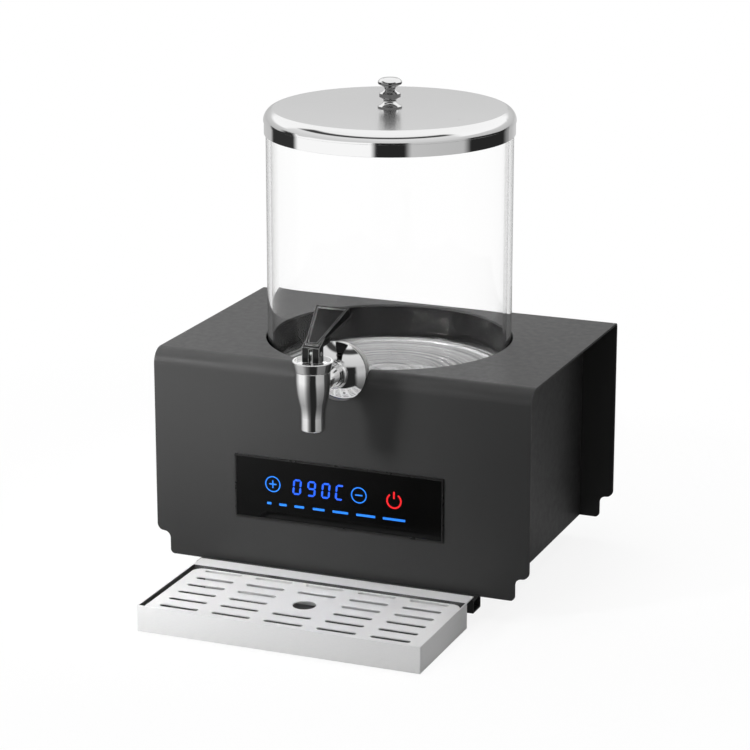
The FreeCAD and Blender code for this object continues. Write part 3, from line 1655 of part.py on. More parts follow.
def make_power_inlet():
    """The mains socket in the back panel, with its cavity open to the rear and two screws."""
    x = inlet_x
    z = base_z + d.inlet_rise
    w = d.inlet_width / 2
    h = d.inlet_height / 2
    wall = d.inlet_wall
    face = back + d.inlet_flange
    floor_y = face - d.inlet_socket
    rear = back - d.inlet_depth
    lap = d.inlet_lap
    flange = box("inlet_flange_plate", (x - w - d.inlet_ear, back, z - h - lap),
                 (x + w + d.inlet_ear, face, z + h + lap))
    case = box("inlet_case", (x - w, rear, z - h), (x + w, back, z + h))
    cavity = box("inlet_cavity", (x - w + wall, floor_y, z - h + wall),
                 (x + w - wall, face + 1, z + h - wall))
    seat_y = face - d.screw_head_height
    screws = []
    bores = [cavity]
    for i, side in enumerate((-1, 1)):
        ear_x = x + side * (w + d.inlet_ear / 2)
        bores.append(cylinder("inlet_bore_%d" % i, d.screw_radius + d.screw_fit,
                              d.inlet_flange + 2, (ear_x, back - 1, z), "Y"))
        bores.append(cylinder("inlet_sink_%d" % i, d.screw_head + d.screw_fit,
                              d.screw_head_height + 1, (ear_x, seat_y, z), "Y"))
        screws.append(screw("inlet_screw_%d" % i, SCREW, (ear_x, seat_y, z), "Y",
                            seat_y - inner_back + d.screw_reach, -1))
    shell = cut("inlet_shell", fuse("inlet_fuse", [flange, case]), bores)
    half = d.inlet_pin_wall / 2
    high = d.inlet_pin_height / 2
    pins = []
    for i, (step, rise) in enumerate(((-1, -1), (0, 1), (1, -1))):
        px = x + step * d.inlet_pin_spread
        pz = z + rise * d.inlet_pin_rise
        pins.append(box("inlet_pin_%d" % i, (px - half, floor_y - d.inlet_floor, pz - high),
                        (px + half, floor_y + d.inlet_pin, pz + high)))
    tab_half = d.inlet_tab_width / 2
    tabs = [
        box("inlet_tab_%d" % i, (tx - tab_half, rear - d.inlet_tab, z - d.inlet_tab_wall / 2),
            (tx + tab_half, rear, z + d.inlet_tab_wall / 2))
        for i, tx in enumerate((x - d.inlet_tab, x + d.inlet_tab))
    ]
    node(fuse("inlet_whole", [shell] + pins + tabs), "power_inlet")
    group("inlet_screws", screws)


def main():
    make_housing_wrap()
    make_side_panel("side_panel_left", -1)
    make_side_panel("side_panel_right", 1)
    make_base_plate()
    make_base_screws()
    make_feet()
    make_tray_bracket()
    make_tray_pan()
    make_tray_grid()
    make_well_wall()
    make_heating_plate()
    make_plate_seal()
    make_heating_element()
    make_heater_stack()
    make_thermal_cutout()
    make_vessel()
    make_lid()
    make_lid_seal()
    make_knob()
    make_tap_body()
    make_bonnet()
    make_rosette()
    make_tap_fixing()
    make_stem()
    make_spring()
    make_lever()
    make_display()
    make_electronics()
    make_power_inlet()
    doc.recompute()
    broken = [o.Name for o in doc.Objects if "Invalid" in o.State or "Error" in o.State]
    if broken:
        raise ValueError("failed objects: %s" % ", ".join(broken))
    os.makedirs("parts", exist_ok=True)
    for thing in NODES:
        shape = thing.Shape
        if shape.isNull() or not shape.isValid():
            raise ValueError("bad shape: %s" % thing.Label)
        if not shape.Solids:
            raise ValueError("no solid: %s" % thing.Label)
        shape.exportStep("parts/%s.step" % thing.Label)
        print(thing.Label, len(shape.Solids), round(shape.Volume, 1))


main()
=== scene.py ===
import json
import math

import bmesh
import bpy
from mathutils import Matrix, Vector


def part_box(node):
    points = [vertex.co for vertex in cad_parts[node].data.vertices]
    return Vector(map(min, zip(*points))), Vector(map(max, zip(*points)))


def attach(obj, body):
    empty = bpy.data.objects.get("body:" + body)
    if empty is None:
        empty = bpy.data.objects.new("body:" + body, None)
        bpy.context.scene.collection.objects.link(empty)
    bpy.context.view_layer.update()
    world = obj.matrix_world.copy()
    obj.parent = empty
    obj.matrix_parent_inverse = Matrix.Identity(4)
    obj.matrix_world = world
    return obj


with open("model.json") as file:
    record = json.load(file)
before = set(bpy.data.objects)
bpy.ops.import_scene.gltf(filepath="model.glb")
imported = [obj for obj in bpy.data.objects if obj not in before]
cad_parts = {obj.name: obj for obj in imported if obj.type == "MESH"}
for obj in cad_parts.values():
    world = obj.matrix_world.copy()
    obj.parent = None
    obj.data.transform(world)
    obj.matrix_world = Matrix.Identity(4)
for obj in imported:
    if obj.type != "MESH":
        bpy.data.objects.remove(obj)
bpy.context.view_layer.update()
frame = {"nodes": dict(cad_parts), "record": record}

NODES = frame["nodes"]
MM = 0.001


# Camera at the photograph's viewing angle, in metres, degrees and millimetres of lens

CAMERA_TARGET = (0.0338, -0.05275, 0.2052)
CAMERA_AZIMUTH = 22.06
CAMERA_ELEVATION = 16.24
CAMERA_REACH = 2.346
SENSOR_WIDTH = 36.0
FOCAL_LENGTH = 134.5


def make_camera():
    data = bpy.data.cameras.new("camera")
    data.sensor_width = SENSOR_WIDTH
    data.lens = FOCAL_LENGTH
    data.clip_start = 0.1
    data.clip_end = 100.0
    camera = bpy.data.objects.new("camera", data)
    bpy.context.scene.collection.objects.link(camera)
    azimuth = math.radians(CAMERA_AZIMUTH)
    elevation = math.radians(CAMERA_ELEVATION)
    away = Vector((
        math.sin(azimuth) * math.cos(elevation),
        -math.cos(azimuth) * math.cos(elevation),
        math.sin(elevation),
    ))
    camera.location = Vector(CAMERA_TARGET) + away * CAMERA_REACH
    camera.rotation_euler = (-away).to_track_quat("-Z", "Y").to_euler()
    bpy.context.scene.camera = camera


# Node trees and materials

def grey(value):
    return (value, value, value)


def is_number(value):
    return isinstance(value, (int, float))


class Tree:
    """Short ways to lay out a node tree."""

    def __init__(self, tree):
        self.tree = tree

    def add(self, kind, **inputs):
        made = self.tree.nodes.new(kind)
        for key, value in inputs.items():
            made.inputs[key.replace("_", " ")].default_value = value
        return made

    def link(self, source, target):
        self.tree.links.new(source, target)

    def feed(self, socket, value):
        """Link an output to a socket, or set it to a number, which is a grey in a colour."""
        if not is_number(value):
            self.link(value, socket)
        elif socket.type == "RGBA":
            socket.default_value = (*grey(value), 1.0)
        else:
            socket.default_value = value

    def calc(self, operation, *values):
        made = self.add("ShaderNodeMath")
        made.operation = operation
        for socket, value in zip(made.inputs, values):
            self.feed(socket, value)
        return made.outputs["Value"]

    def split(self, vector):
        made = self.add("ShaderNodeSeparateXYZ")
        self.link(vector, made.inputs["Vector"])
        return made.outputs["X"], made.outputs["Y"], made.outputs["Z"]

    def position(self, kind):
        return self.split(self.add("ShaderNodeTexCoord").outputs[kind])

    def radius(self, x, y):
        return self.calc("SQRT", self.calc("ADD", self.calc("MULTIPLY", x, x),
                                           self.calc("MULTIPLY", y, y)))

    def ramp(self, source, stops):
        """A colour that follows stops of a position and a grey or a colour."""
        made = self.add("ShaderNodeValToRGB")
        elements = made.color_ramp.elements
        elements.remove(elements[-1])
        for i, (position, value) in enumerate(stops):
            element = elements.new(position) if i else elements[0]
            element.position = position
            element.color = (*(grey(value) if is_number(value) else value), 1.0)
        self.link(source, made.inputs["Fac"])
        return made.outputs["Color"]

    def around(self, x, y, stops):
        """A grey that changes with the direction seen from above."""
        turn = self.calc("ARCTAN2", x, self.calc("MULTIPLY", y, -1.0))
        share = self.calc("MULTIPLY_ADD", turn, 1.0 / (2.0 * math.pi), 0.5)
        return self.ramp(share, [((a + 180.0) / 360.0, v) for a, v in stops])

    def mix(self, share, one, two):
        made = self.add("ShaderNodeMix")
        made.data_type = "RGBA"
        self.link(share, made.inputs[0])
        self.feed(made.inputs[6], one)
        self.feed(made.inputs[7], two)
        return made.outputs[2]

    def glow(self, kind, colour):
        made = self.add(kind)
        self.feed(made.inputs["Color"], colour)
        return made.outputs[0]

    def either(self, share, one, two):
        made = self.add("ShaderNodeMixShader")
        self.link(share, made.inputs["Fac"])
        self.link(one, made.inputs[1])
        self.link(two, made.inputs[2])
        return made.outputs["Shader"]


class Shader(Tree):
    """A principled material with helpers for its procedural inputs."""

    def __init__(self, name):
        self.material = bpy.data.materials.new(name)
        self.material.use_nodes = True
        super().__init__(self.material.node_tree)
        self.surface = self.tree.nodes["Principled BSDF"]
        self.output = self.tree.nodes["Material Output"]

    def set(self, **values):
        for key, value in values.items():
            self.surface.inputs[key.replace("_", " ")].default_value = value

    def drive(self, name, source):
        self.link(source, self.surface.inputs[name])

    def coordinates(self, scale=(1, 1, 1), offset=(0, 0, 0)):
        mapping = self.add("ShaderNodeMapping", Scale=scale, Location=offset)
        self.link(self.add("ShaderNodeTexCoord").outputs["Object"], mapping.inputs["Vector"])
        return mapping.outputs["Vector"]

    def noise(self, scale, detail=3.0, stretch=(1, 1, 1)):
        made = self.add("ShaderNodeTexNoise", Scale=scale, Detail=detail, Roughness=0.55)
        self.link(self.coordinates(stretch), made.inputs["Vector"])
        return made.outputs["Fac"]

    def rings(self, centre_y, scale):
        """Noise that only changes with the distance from a vertical axis."""
        x, y, _ = self.split(self.coordinates(offset=(0, -centre_y, 0)))
        made = self.add("ShaderNodeTexNoise", Scale=scale, Detail=4.0)
        made.noise_dimensions = "1D"
        self.link(self.radius(x, y), made.inputs["W"])
        return made.outputs["Fac"]

    def normal(self):
        return self.add("ShaderNodeNewGeometry").outputs["Normal"]

    def upward(self):
        """How far the surface faces up, from -1 to 1."""
        return self.split(self.normal())[2]

    def between(self, source, low, high, start=0.3, end=0.7):
        made = self.add("ShaderNodeMapRange", From_Min=start, From_Max=end,
                        To_Min=low, To_Max=high)
        self.link(source, made.inputs["Value"])
        return made.outputs["Result"]

    def colour(self, source, low, high, start=0.3, end=0.7):
        self.drive("Base Color", self.ramp(source, [(start, low), (end, high)]))

    def rough(self, source, low, high, start=0.3, end=0.7):
        self.drive("Roughness", self.between(source, low, high, start, end))

    def bump(self, source, depth, strength, edge):
        """Bump on a surface whose edges look rounded by the radius edge."""
        made = self.add("ShaderNodeBump", Strength=strength, Distance=depth)
        self.link(source, made.inputs["Height"])
        rounded = self.add("ShaderNodeBevel", Radius=edge)
        self.link(rounded.outputs["Normal"], made.inputs["Normal"])
        self.drive("Normal", made.outputs["Normal"])


BRUSH_SCALE = 420.0
BRUSH_DEPTH = 0.00002
SOFT_EDGE = 0.0004


def powder_coat(name, tone):
    """Satin charcoal powder coat with its fine orange-peel grain."""
    made = Shader(name)
    made.set(Specular_IOR_Level=0.28)
    made.colour(made.noise(9.0), tone * 0.94, tone * 1.06)
    made.rough(made.noise(160.0), 0.36, 0.44)
    made.bump(made.noise(1500.0, detail=2.0), 0.00003, 0.4, 0.0006)
    return made.material


def brushed(name, tone, rough, stretch, metal=1.0):
    """Stainless steel brushed along one direction."""
    made = Shader(name)
    made.set(Metallic=metal)
    grain = made.noise(BRUSH_SCALE, detail=5.0, stretch=stretch)
    made.colour(grain, tone * 0.95, tone * 1.03)
    made.rough(grain, rough * 0.88, rough * 1.12)
    made.bump(grain, BRUSH_DEPTH, 0.3, SOFT_EDGE)
    return made.material


def folded_tray(name):
    """The drip pan: brushed outside, and painted dark inside under the grid as the shade there.
    """
    made = Shader(name)
    made.set(Metallic=0.35)
    low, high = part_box("tray_pan")
    grid_low, grid_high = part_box("tray_grid")
    grain = made.noise(BRUSH_SCALE, detail=5.0, stretch=(1, 22, 22))
    outside = made.ramp(grain, [(0.3, 0.86), (0.7, 0.92)])
    # Painted shade: the pan's inside under the grid is coloured near black for the shade seen
    # through the slots
    painted_shade_inside = made.ramp(made.noise(60.0), [(0.3, 0.035), (0.7, 0.09)])
    x, y, z = made.split(made.coordinates())
    skin = 0.0006
    rim = 0.0001
    within_x = made.calc("COMPARE", x, (low.x + high.x) / 2, (high.x - low.x) / 2 - skin)
    within_y = made.calc("COMPARE", y, (grid_low.y + grid_high.y) / 2,
                         (grid_high.y - grid_low.y) / 2 + skin)
    within_z = made.calc("COMPARE", z, low.z, high.z - low.z - rim)
    share = made.calc("MULTIPLY", made.calc("MULTIPLY", within_x, within_y), within_z)
    made.drive("Base Color", made.mix(share, outside, painted_shade_inside))
    made.rough(grain, 0.32, 0.42)
    made.bump(grain, BRUSH_DEPTH, 0.3, SOFT_EDGE)
    return made.material


def mirror_chrome(name, tone, rough):
    """Polished chrome with faint handling haze."""
    made = Shader(name)
    made.set(Metallic=1.0)
    made.colour(made.noise(6.0), tone * 0.985, tone)
    made.rough(made.noise(45.0, detail=5.0), rough * 0.7, rough * 1.4)
    made.bump(made.noise(25.0), 0.00002, 0.2, SOFT_EDGE)
    return made.material


def turned_knob(name):
    """Turned chrome painted darker on its necks and undersides as shade."""
    made = Shader(name)
    made.set(Metallic=1.0)
    # Painted shade: the colour darkens as the face turns downward
    made.colour(made.upward(), 0.2, 0.86, -0.15, 0.55)
    made.rough(made.noise(45.0, detail=5.0), 0.03, 0.06)
    return made.material


def spun_steel(name, centre_y):
    """Heating plate with turned rings."""
    made = Shader(name)
    made.set(Metallic=0.7)
    made.colour(made.rings(centre_y, 260.0), 0.62, 0.97, 0.42, 0.58)
    made.rough(made.rings(centre_y, 900.0), 0.1, 0.2)
    made.bump(made.rings(centre_y, 500.0), 0.00005, 0.35, 0.0005)
    return made.material


def pressed_lid(name):
    """The lid: a mirror band and shoulder under a finely satined top."""
    made = Shader(name)
    made.set(Metallic=1.0)
    made.colour(made.noise(6.0), 0.9, 0.93)
    made.rough(made.upward(), 0.05, 0.2, 0.8, 0.995)
    made.bump(made.noise(300.0, detail=4.0), 0.00001, 0.2, 0.0003)
    return made.material


def lever_gloss(name):
    """Glossy black lever with pale edges: a painted highlight, broken up like rubbed wear."""
    made = Shader(name)
    made.set(Specular_IOR_Level=0.3)
    rounded = made.add("ShaderNodeBevel", Radius=0.0011)
    turn = made.add("ShaderNodeVectorMath")
    turn.operation = "DOT_PRODUCT"
    made.link(rounded.outputs["Normal"], turn.inputs[0])
    made.link(made.normal(), turn.inputs[1])
    # Painted highlight along the rounded edges, broken up by noise like rubbed wear
    edges = made.between(turn.outputs["Value"], 1.0, 0.0, 0.86, 0.985)
    painted_highlight_and_wear = made.calc("MULTIPLY", edges, made.between(made.noise(70.0), 0.35, 1.0))
    made.colour(painted_highlight_and_wear, 0.0035, 0.42, 0.1, 1.0)
    made.rough(made.noise(90.0), 0.1, 0.2)
    made.bump(made.noise(300.0), 0.00001, 0.2, 0.0008)
    return made.material


def moulded(name, colour, rough, grain=900.0, depth=0.00003, **more):
    """Moulded plastic, rubber, ceramic, wool or silicone with a fine surface."""
    made = Shader(name)
    made.set(**more)
    low = tuple(c * 0.92 for c in colour)
    high = tuple(min(c * 1.08, 1.0) for c in colour)
    made.colour(made.noise(14.0), low, high)
    made.rough(made.noise(120.0), rough * 0.88, rough * 1.12)
    made.bump(made.noise(grain, detail=2.0), depth, 0.4, SOFT_EDGE)
    return made.material


def clear_wall(name):
    """Clear polished plastic whose upright edges are painted grey as shade, and which hardly
    shades.
    """
    made = Shader(name)
    made.set(Transmission_Weight=1.0, IOR=1.16)
    # Painted shade: the base colour greys where upright walls are seen edge-on
    edge = made.add("ShaderNodeLayerWeight", Blend=0.28).outputs["Facing"]
    upright = made.between(made.calc("ABSOLUTE", made.upward()), 1.0, 0.0, 0.1, 0.6)
    made.colour(made.calc("MULTIPLY", edge, upright), 1.0, 0.2, 0.45, 0.74)
    made.rough(made.noise(30.0), 0.004, 0.012)
    shade = made.add("ShaderNodeLightPath").outputs["Is Shadow Ray"]
    made.link(made.either(shade, made.surface.outputs["BSDF"],
                          made.glow("ShaderNodeBsdfTransparent", 0.97)),
              made.output.inputs["Surface"])
    return made.material


def gloss_panel(name):
    """Black display glass with a very faint smear."""
    made = Shader(name)
    made.set(Specular_IOR_Level=0.16)
    made.colour(made.noise(20.0), 0.0012, 0.002)
    made.rough(made.noise(18.0, detail=5.0), 0.05, 0.1)
    made.bump(made.noise(30.0), 0.00001, 0.1, 0.0003)
    return made.material


def lit(name, colour):
    """A lit display symbol, slightly uneven along its stroke."""
    def dimmed(share):
        return tuple(c * share for c in colour)

    made = Shader(name)
    made.set(Roughness=0.4, Emission_Strength=1.0)
    made.colour(made.noise(300.0), dimmed(0.2), dimmed(0.3))
    made.drive("Emission Color",
               made.ramp(made.noise(260.0), [(0.3, dimmed(0.92)), (0.7, colour)]))
    return made.material


def pcb(name):
    """Solder-masked circuit board with faint tracks."""
    made = Shader(name)
    tracks = made.add("ShaderNodeTexBrick", Scale=140.0, Mortar_Size=0.012,
                      Color1=(0.012, 0.1, 0.035, 1.0), Color2=(0.015, 0.12, 0.042, 1.0),
                      Mortar=(0.03, 0.2, 0.07, 1.0))
    made.link(made.coordinates(), tracks.inputs["Vector"])
    made.drive("Base Color", tracks.outputs["Color"])
    made.rough(made.noise(200.0), 0.28, 0.4)
    return made.material


def dress_nodes():
    """Give each node the look of its material slot."""
    vessel_low, vessel_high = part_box("vessel")
    looks = {
        "black_steel": powder_coat("charcoal_coat", 0.021),
        # Painted light: the side panels get a lighter copy of the same coat
        "side_steel": powder_coat("charcoal_coat_side_painted_light", 0.026),
        "zinc_plate": brushed("zinc_sheet", 0.5, 0.42, (1, 12, 1)),
        "fasteners": brushed("zinc_screw", 0.55, 0.3, (6, 6, 1)),
        "foot_rubber": moulded("black_rubber", grey(0.02), 0.75),
        "tray_steel": folded_tray("tray_brushed"),
        "grid_steel": brushed("grid_brushed", 0.88, 0.5, (1, 22, 22), metal=0.3),
        "plate_steel": spun_steel("plate_spun", (vessel_low.y + vessel_high.y) / 2),
        "well_steel": brushed("well_dark", 0.035, 0.2, (1, 1, 12)),
        "seal_silicone": moulded("silicone", (0.62, 0.62, 0.61), 0.4, Subsurface_Weight=0.15,
                                 Subsurface_Radius=grey(0.002)),
        "element_steel": brushed("element_sheath", 0.2, 0.5, (3, 3, 3)),
        "insulation_wool": moulded("mineral_wool", (0.5, 0.46, 0.34), 0.95, 500.0, 0.0006),
        "cutout_ceramic": moulded("ceramic_body", (0.7, 0.66, 0.58), 0.6),
        "clear_vessel": clear_wall("vessel_clear"),
        "lid_chrome": pressed_lid("lid_mirror"),
        "knob_chrome": turned_knob("knob_mirror"),
        "tap_chrome": mirror_chrome("tap_mirror", 0.88, 0.06),
        "stem_steel": brushed("stem_bright", 0.75, 0.2, (3, 3, 1)),
        "handle_black": lever_gloss("lever_black"),
        "bezel_black": moulded("bezel_plastic", grey(0.004), 0.3, 700.0),
        "display_glass": gloss_panel("display_gloss"),
        "circuit_board": pcb("board_mask"),
        "electronic_parts": moulded("component_black", grey(0.02), 0.4),
        "transformer_core": brushed("core_laminations", 0.12, 0.5, (1, 1, 30)),
        "terminal_plastic": moulded("terminal_cream", (0.6, 0.56, 0.46), 0.45),
        "inlet_plastic": moulded("inlet_black", grey(0.015), 0.4),
    }
    slots = {p["node"]: p["material_slot"] for p in frame["record"]["subparts"]}
    for name, node in NODES.items():
        look = looks[slots[name]]
        if not node.material_slots:
            node.data.materials.append(look)
        for material_slot in node.material_slots:
            material_slot.material = look


# Display symbols

SYMBOL_HEIGHT = 0.00012
SYMBOL_GAP = 0.00002
CORNER_STEPS = 6
ARC_STEPS = 64


class Flat:
    """Thin shapes drawn on the display, in millimetres across and up."""

    def __init__(self, name, look, face_y):
        self.bm = bmesh.new()
        self.name = name
        self.look = look
        self.front = face_y - SYMBOL_HEIGHT
        self.back = face_y - SYMBOL_GAP

    def prism(self, points):
        ahead = [self.bm.verts.new((x * MM, self.front, z * MM)) for x, z in points]
        behind = [self.bm.verts.new((x * MM, self.back, z * MM)) for x, z in points]
        self.bm.faces.new(ahead)
        self.bm.faces.new(list(reversed(behind)))
        count = len(points)
        for i in range(count):
            j = (i + 1) % count
            self.bm.faces.new((ahead[j], ahead[i], behind[i], behind[j]))

    def bar(self, x, z, length, height, corner=None):
        """A bar with rounded corners, or with round ends where no corner is given."""
        r = min(length, height) / 2 if corner is None else corner
        points = []
        for cx, cz, start in ((length / 2 - r, height / 2 - r, 0),
                              (r - length / 2, height / 2 - r, 90),
                              (r - length / 2, r - height / 2, 180),
                              (length / 2 - r, r - height / 2, 270)):
            for k in range(CORNER_STEPS + 1):
                turn = math.radians(start + 90.0 * k / CORNER_STEPS)
                points.append((x + cx + r * math.cos(turn), z + cz + r * math.sin(turn)))
        self.prism(points)

    def arc(self, x, z, radius, stroke, start=0.0, end=360.0):
        """A ring, or an arc with square ends."""
        closed = end - start >= 360.0
        inner = radius - stroke / 2
        outer = radius + stroke / 2
        rows = []
        for k in range(ARC_STEPS if closed else ARC_STEPS + 1):
            turn = math.radians(start + (end - start) * k / ARC_STEPS)
            rows.append([
                self.bm.verts.new(
                    ((x + r * math.cos(turn)) * MM, y, (z + r * math.sin(turn)) * MM))
                for r, y in ((inner, self.front), (outer, self.front),
                             (outer, self.back), (inner, self.back))
            ])
        pairs = zip(rows, rows[1:] + rows[:1]) if closed else zip(rows, rows[1:])
        for one, two in pairs:
            for i in range(4):
                j = (i + 1) % 4
                self.bm.faces.new((one[i], two[i], two[j], one[j]))
        if not closed:
            self.bm.faces.new(rows[0])
            self.bm.faces.new(list(reversed(rows[-1])))

    def segment(self, centre, along, length, stroke, lean, origin):
        """A pointed bar of a seven-segment digit."""
        half = length / 2
        s = stroke / 2
        shape = [(-half, 0), (s - half, -s), (half - s, -s), (half, 0), (half - s, s),
                 (s - half, s)]
        points = []
        for a, b in shape:
            u, v = (a, b) if along == "across" else (-b, a)
            x = centre[0] + u
            z = centre[1] + v
            points.append((origin[0] + x + z * lean, origin[1] + z))
        self.prism(points)

    def done(self, body="cabinet"):
        bmesh.ops.recalc_face_normals(self.bm, faces=self.bm.faces)
        mesh = bpy.data.meshes.new(self.name)
        self.bm.to_mesh(mesh)
        self.bm.free()
        piece = bpy.data.objects.new(self.name, mesh)
        bpy.context.scene.collection.objects.link(piece)
        mesh.materials.append(self.look)
        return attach(piece, body)


SEGMENTS = {
    "a": ((0, 1), "across"),
    "b": ((1, 0.5), "up"),
    "c": ((1, -0.5), "up"),
    "d": ((0, -1), "across"),
    "e": ((-1, -0.5), "up"),
    "f": ((-1, 0.5), "up"),
    "g": ((0, 0), "across"),
}
DIGITS = {"0": "abcdef", "9": "abcdfg", "C": "adef"}

PLUS_X = -60.3
MINUS_X = 19.6
KEY_ROW = 97.6
KEY_RADIUS = 6.7
KEY_STROKE = 1.2
PLUS_ARM = 2.9
PLUS_ARM_MIDDLE = 2.05

READING = "090C"
READING_X = (-37.6, -24.2, -10.9, 1.9)
DIGIT_ROW = 97.7
DIGIT_HALF_WIDTH = 3.1
DIGIT_HALF_HEIGHT = 6.2
DIGIT_STROKE = 1.7
DIGIT_LEAN = 0.09
SEGMENT_GAP = 0.5

BAR_ROW = 80.0
BAR_HEIGHT = 2.1
BARS = ((-63.8, 4.0), (-51.0, 7.0), (-35.7, 9.0), (-17.6, 11.0), (2.5, 14.5), (25.9, 17.5),
        (51.8, 20.5))

POWER_X = 51.7
POWER_ROW = 96.6
POWER_RADIUS = 6.3
POWER_STROKE = 1.5
POWER_OPENING = (125.0, 415.0)


def draw_symbols():
    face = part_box("display_glass")[0].y
    blue = lit("display_blue", (0.012, 0.12, 1.0))
    sky = lit("display_sky", (0.012, 0.2, 0.85))
    red = lit("display_red", (0.8, 0.008, 0.012))

    keys = Flat("display_keys", sky, face)
    for x in (PLUS_X, MINUS_X):
        keys.arc(x, KEY_ROW, KEY_RADIUS, 1.0)
        keys.bar(x, KEY_ROW, 7.0, KEY_STROKE)
    for side in (1, -1):
        keys.bar(PLUS_X, KEY_ROW + side * PLUS_ARM_MIDDLE, KEY_STROKE, PLUS_ARM, 0.3)
    keys.done()

    digits = Flat("display_digits", blue, face)
    for x, digit in zip(READING_X, READING):
        for name in DIGITS[digit]:
            (u, v), along = SEGMENTS[name]
            span = 2 * DIGIT_HALF_WIDTH if along == "across" else DIGIT_HALF_HEIGHT
            digits.segment((u * DIGIT_HALF_WIDTH, v * DIGIT_HALF_HEIGHT), along,
                           span - SEGMENT_GAP, DIGIT_STROKE, DIGIT_LEAN, (x, DIGIT_ROW))
    digits.done()

    bars = Flat("display_bars", sky, face)
    for x, width in BARS:
        bars.bar(x, BAR_ROW, width, BAR_HEIGHT, 0.5)
    bars.done()

    power = Flat("display_power", red, face)
    power.arc(POWER_X, POWER_ROW, POWER_RADIUS, POWER_STROKE, *POWER_OPENING)
    power.bar(POWER_X, POWER_ROW + 5.0, 1.6, 6.6)
    power.done()


# Studio: what polished metal sees, as stops of a place and a brightness

# By azimuth from the front, positive to the right: the horizon and the far floor
AROUND = (
    (-180, 0.62), (-116, 0.55), (-110, 0.03), (-76, 0.03), (-70, 1.0), (5, 1.0), (10, 0.02),
    (36, 0.02), (42, 0.55), (92, 0.5), (100, 0.02), (146, 0.02), (160, 0.45), (180, 0.62),
)
# The same for the floor close to the machine
NEARBY = (
    (-180, 0.03), (-114, 0.03), (-84, 0.6), (-64, 1.0), (-32, 1.0), (-12, 0.25), (6, 0.02),
    (34, 0.02), (42, 0.5), (88, 0.42), (98, 0.03), (112, 0.1), (124, 1.0), (138, 1.0),
    (150, 0.02), (180, 0.03),
)
# By the height of the direction, from level to straight up
FRONT_SKY = ((0.1, 0.62), (0.58, 0.78), (0.64, 0.05), (0.76, 0.05), (0.82, 0.9), (1.0, 0.95))
REAR_SKY = ((0.0, 0.52), (0.25, 0.62), (0.34, 1.0), (1.0, 0.95))
ABOVE_HORIZON = ((0.06, 0.0), (0.14, 1.0))
# From front to rear, and from left to right
BEHIND = ((0.46, 0.0), (0.54, 1.0))
SOFT_LIGHT = ((0.35, 0.34), (0.8, 0.12))
# By the distance from the machine's middle, in metres, and in units of two metres
NEAR_SHARE = ((0.2, 0.2), (0.74, 1.0))
FAR_SHARE = ((0.45, 0.0), (0.55, 1.0))
WHITE_SHARE = ((0.1, 0.88), (0.4, 1.0))

FLOOR_SIZE = 15.0


def seen_directly(tree, path):
    """Rays that come from the camera, also through the clear vessel."""
    return tree.calc("MAXIMUM", path["Is Camera Ray"], path["Is Transmission Ray"])


def floor_material():
    """Pale floor: white to the camera with the object's faint shadow, flagged for reflections."""
    made = Shader("studio_floor")
    made.set(Roughness=0.9, Specular_IOR_Level=0.0)
    made.colour(made.noise(3.0), 0.86, 0.88)
    path = made.add("ShaderNodeLightPath").outputs
    x, y, _ = made.position("Object")
    reach = made.radius(x, y)
    half_reach = made.calc("MULTIPLY", reach, 0.5)
    near = made.mix(made.ramp(reach, NEAR_SHARE), 0.02, made.around(x, y, NEARBY))
    shown = made.mix(made.ramp(half_reach, FAR_SHARE), near, made.around(x, y, AROUND))
    white = made.calc("MULTIPLY", seen_directly(made, path), made.ramp(half_reach, WHITE_SHARE))
    plain = made.either(white, made.surface.outputs["BSDF"],
                        made.glow("ShaderNodeEmission", 1.0))
    mirror = made.calc("MULTIPLY", path["Is Glossy Ray"],
                       made.calc("SUBTRACT", 1.0, path["Is Transmission Ray"]))
    made.link(made.either(mirror, plain, made.glow("ShaderNodeEmission", shown)),
              made.output.inputs["Surface"])
    return made.material


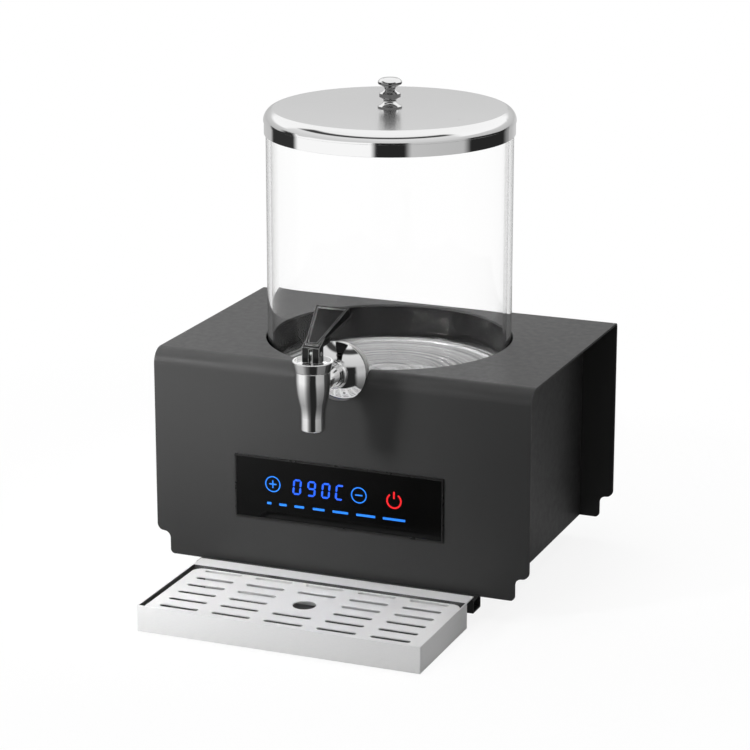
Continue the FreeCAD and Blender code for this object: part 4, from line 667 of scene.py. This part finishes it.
def make_floor():
    bm = bmesh.new()
    bmesh.ops.create_grid(bm, x_segments=8, y_segments=8, size=FLOOR_SIZE)
    mesh = bpy.data.meshes.new("floor")
    bm.to_mesh(mesh)
    bm.free()
    floor = bpy.data.objects.new("floor", mesh)
    bpy.context.scene.collection.objects.link(floor)
    mesh.materials.append(floor_material())


def make_world():
    """White behind everything, soft grey light, and a studio with flags for polished metal."""
    world = bpy.data.worlds.new("studio")
    bpy.context.scene.world = world
    world.use_nodes = True
    nodes = world.node_tree.nodes
    nodes.remove(nodes["Background"])
    tree = Tree(world.node_tree)
    path = tree.add("ShaderNodeLightPath").outputs
    x, y, z = tree.position("Generated")
    ahead = tree.mix(tree.ramp(z, ABOVE_HORIZON), tree.around(x, y, AROUND),
                     tree.ramp(z, FRONT_SKY))
    behind = tree.ramp(tree.calc("MULTIPLY_ADD", y, 0.5, 0.5), BEHIND)
    shown = tree.mix(behind, ahead, tree.ramp(z, REAR_SKY))
    soft = tree.ramp(tree.calc("MULTIPLY_ADD", x, 0.5, 0.5), SOFT_LIGHT)
    lighting = tree.either(path["Is Glossy Ray"], tree.glow("ShaderNodeBackground", soft),
                           tree.glow("ShaderNodeBackground", shown))
    surface = tree.either(seen_directly(tree, path), lighting,
                          tree.glow("ShaderNodeBackground", 1.0))
    tree.link(surface, nodes["World Output"].inputs["Surface"])


def lamp(name, where, at, size, energy, spread=180.0):
    """A soft box at one place, turned to another, that no reflection shows."""
    data = bpy.data.lights.new(name, "AREA")
    data.shape = "RECTANGLE"
    data.size, data.size_y = size
    data.energy = energy
    data.spread = math.radians(spread)
    made = bpy.data.objects.new(name, data)
    bpy.context.scene.collection.objects.link(made)
    made.location = where
    made.rotation_euler = (Vector(at) - Vector(where)).to_track_quat("-Z", "Y").to_euler()
    made.visible_camera = False
    made.visible_glossy = False


def make_lights():
    lamp("key", (-0.62, -0.78, 0.62), (-0.19, -0.05, 0.26), (0.3, 0.3), 1.7, spread=34.0)
    lamp("overhead", (0.0, 0.1, 2.1), (0, -0.05, 0.1), (1.6, 1.6), 36.0)
    lamp("front", (-0.4, -2.3, 0.9), (0, 0, 0.1), (1.2, 0.8), 15.0)


bpy.context.scene.view_settings.view_transform = "Standard"
make_camera()
make_world()
make_floor()
make_lights()
dress_nodes()
draw_symbols()
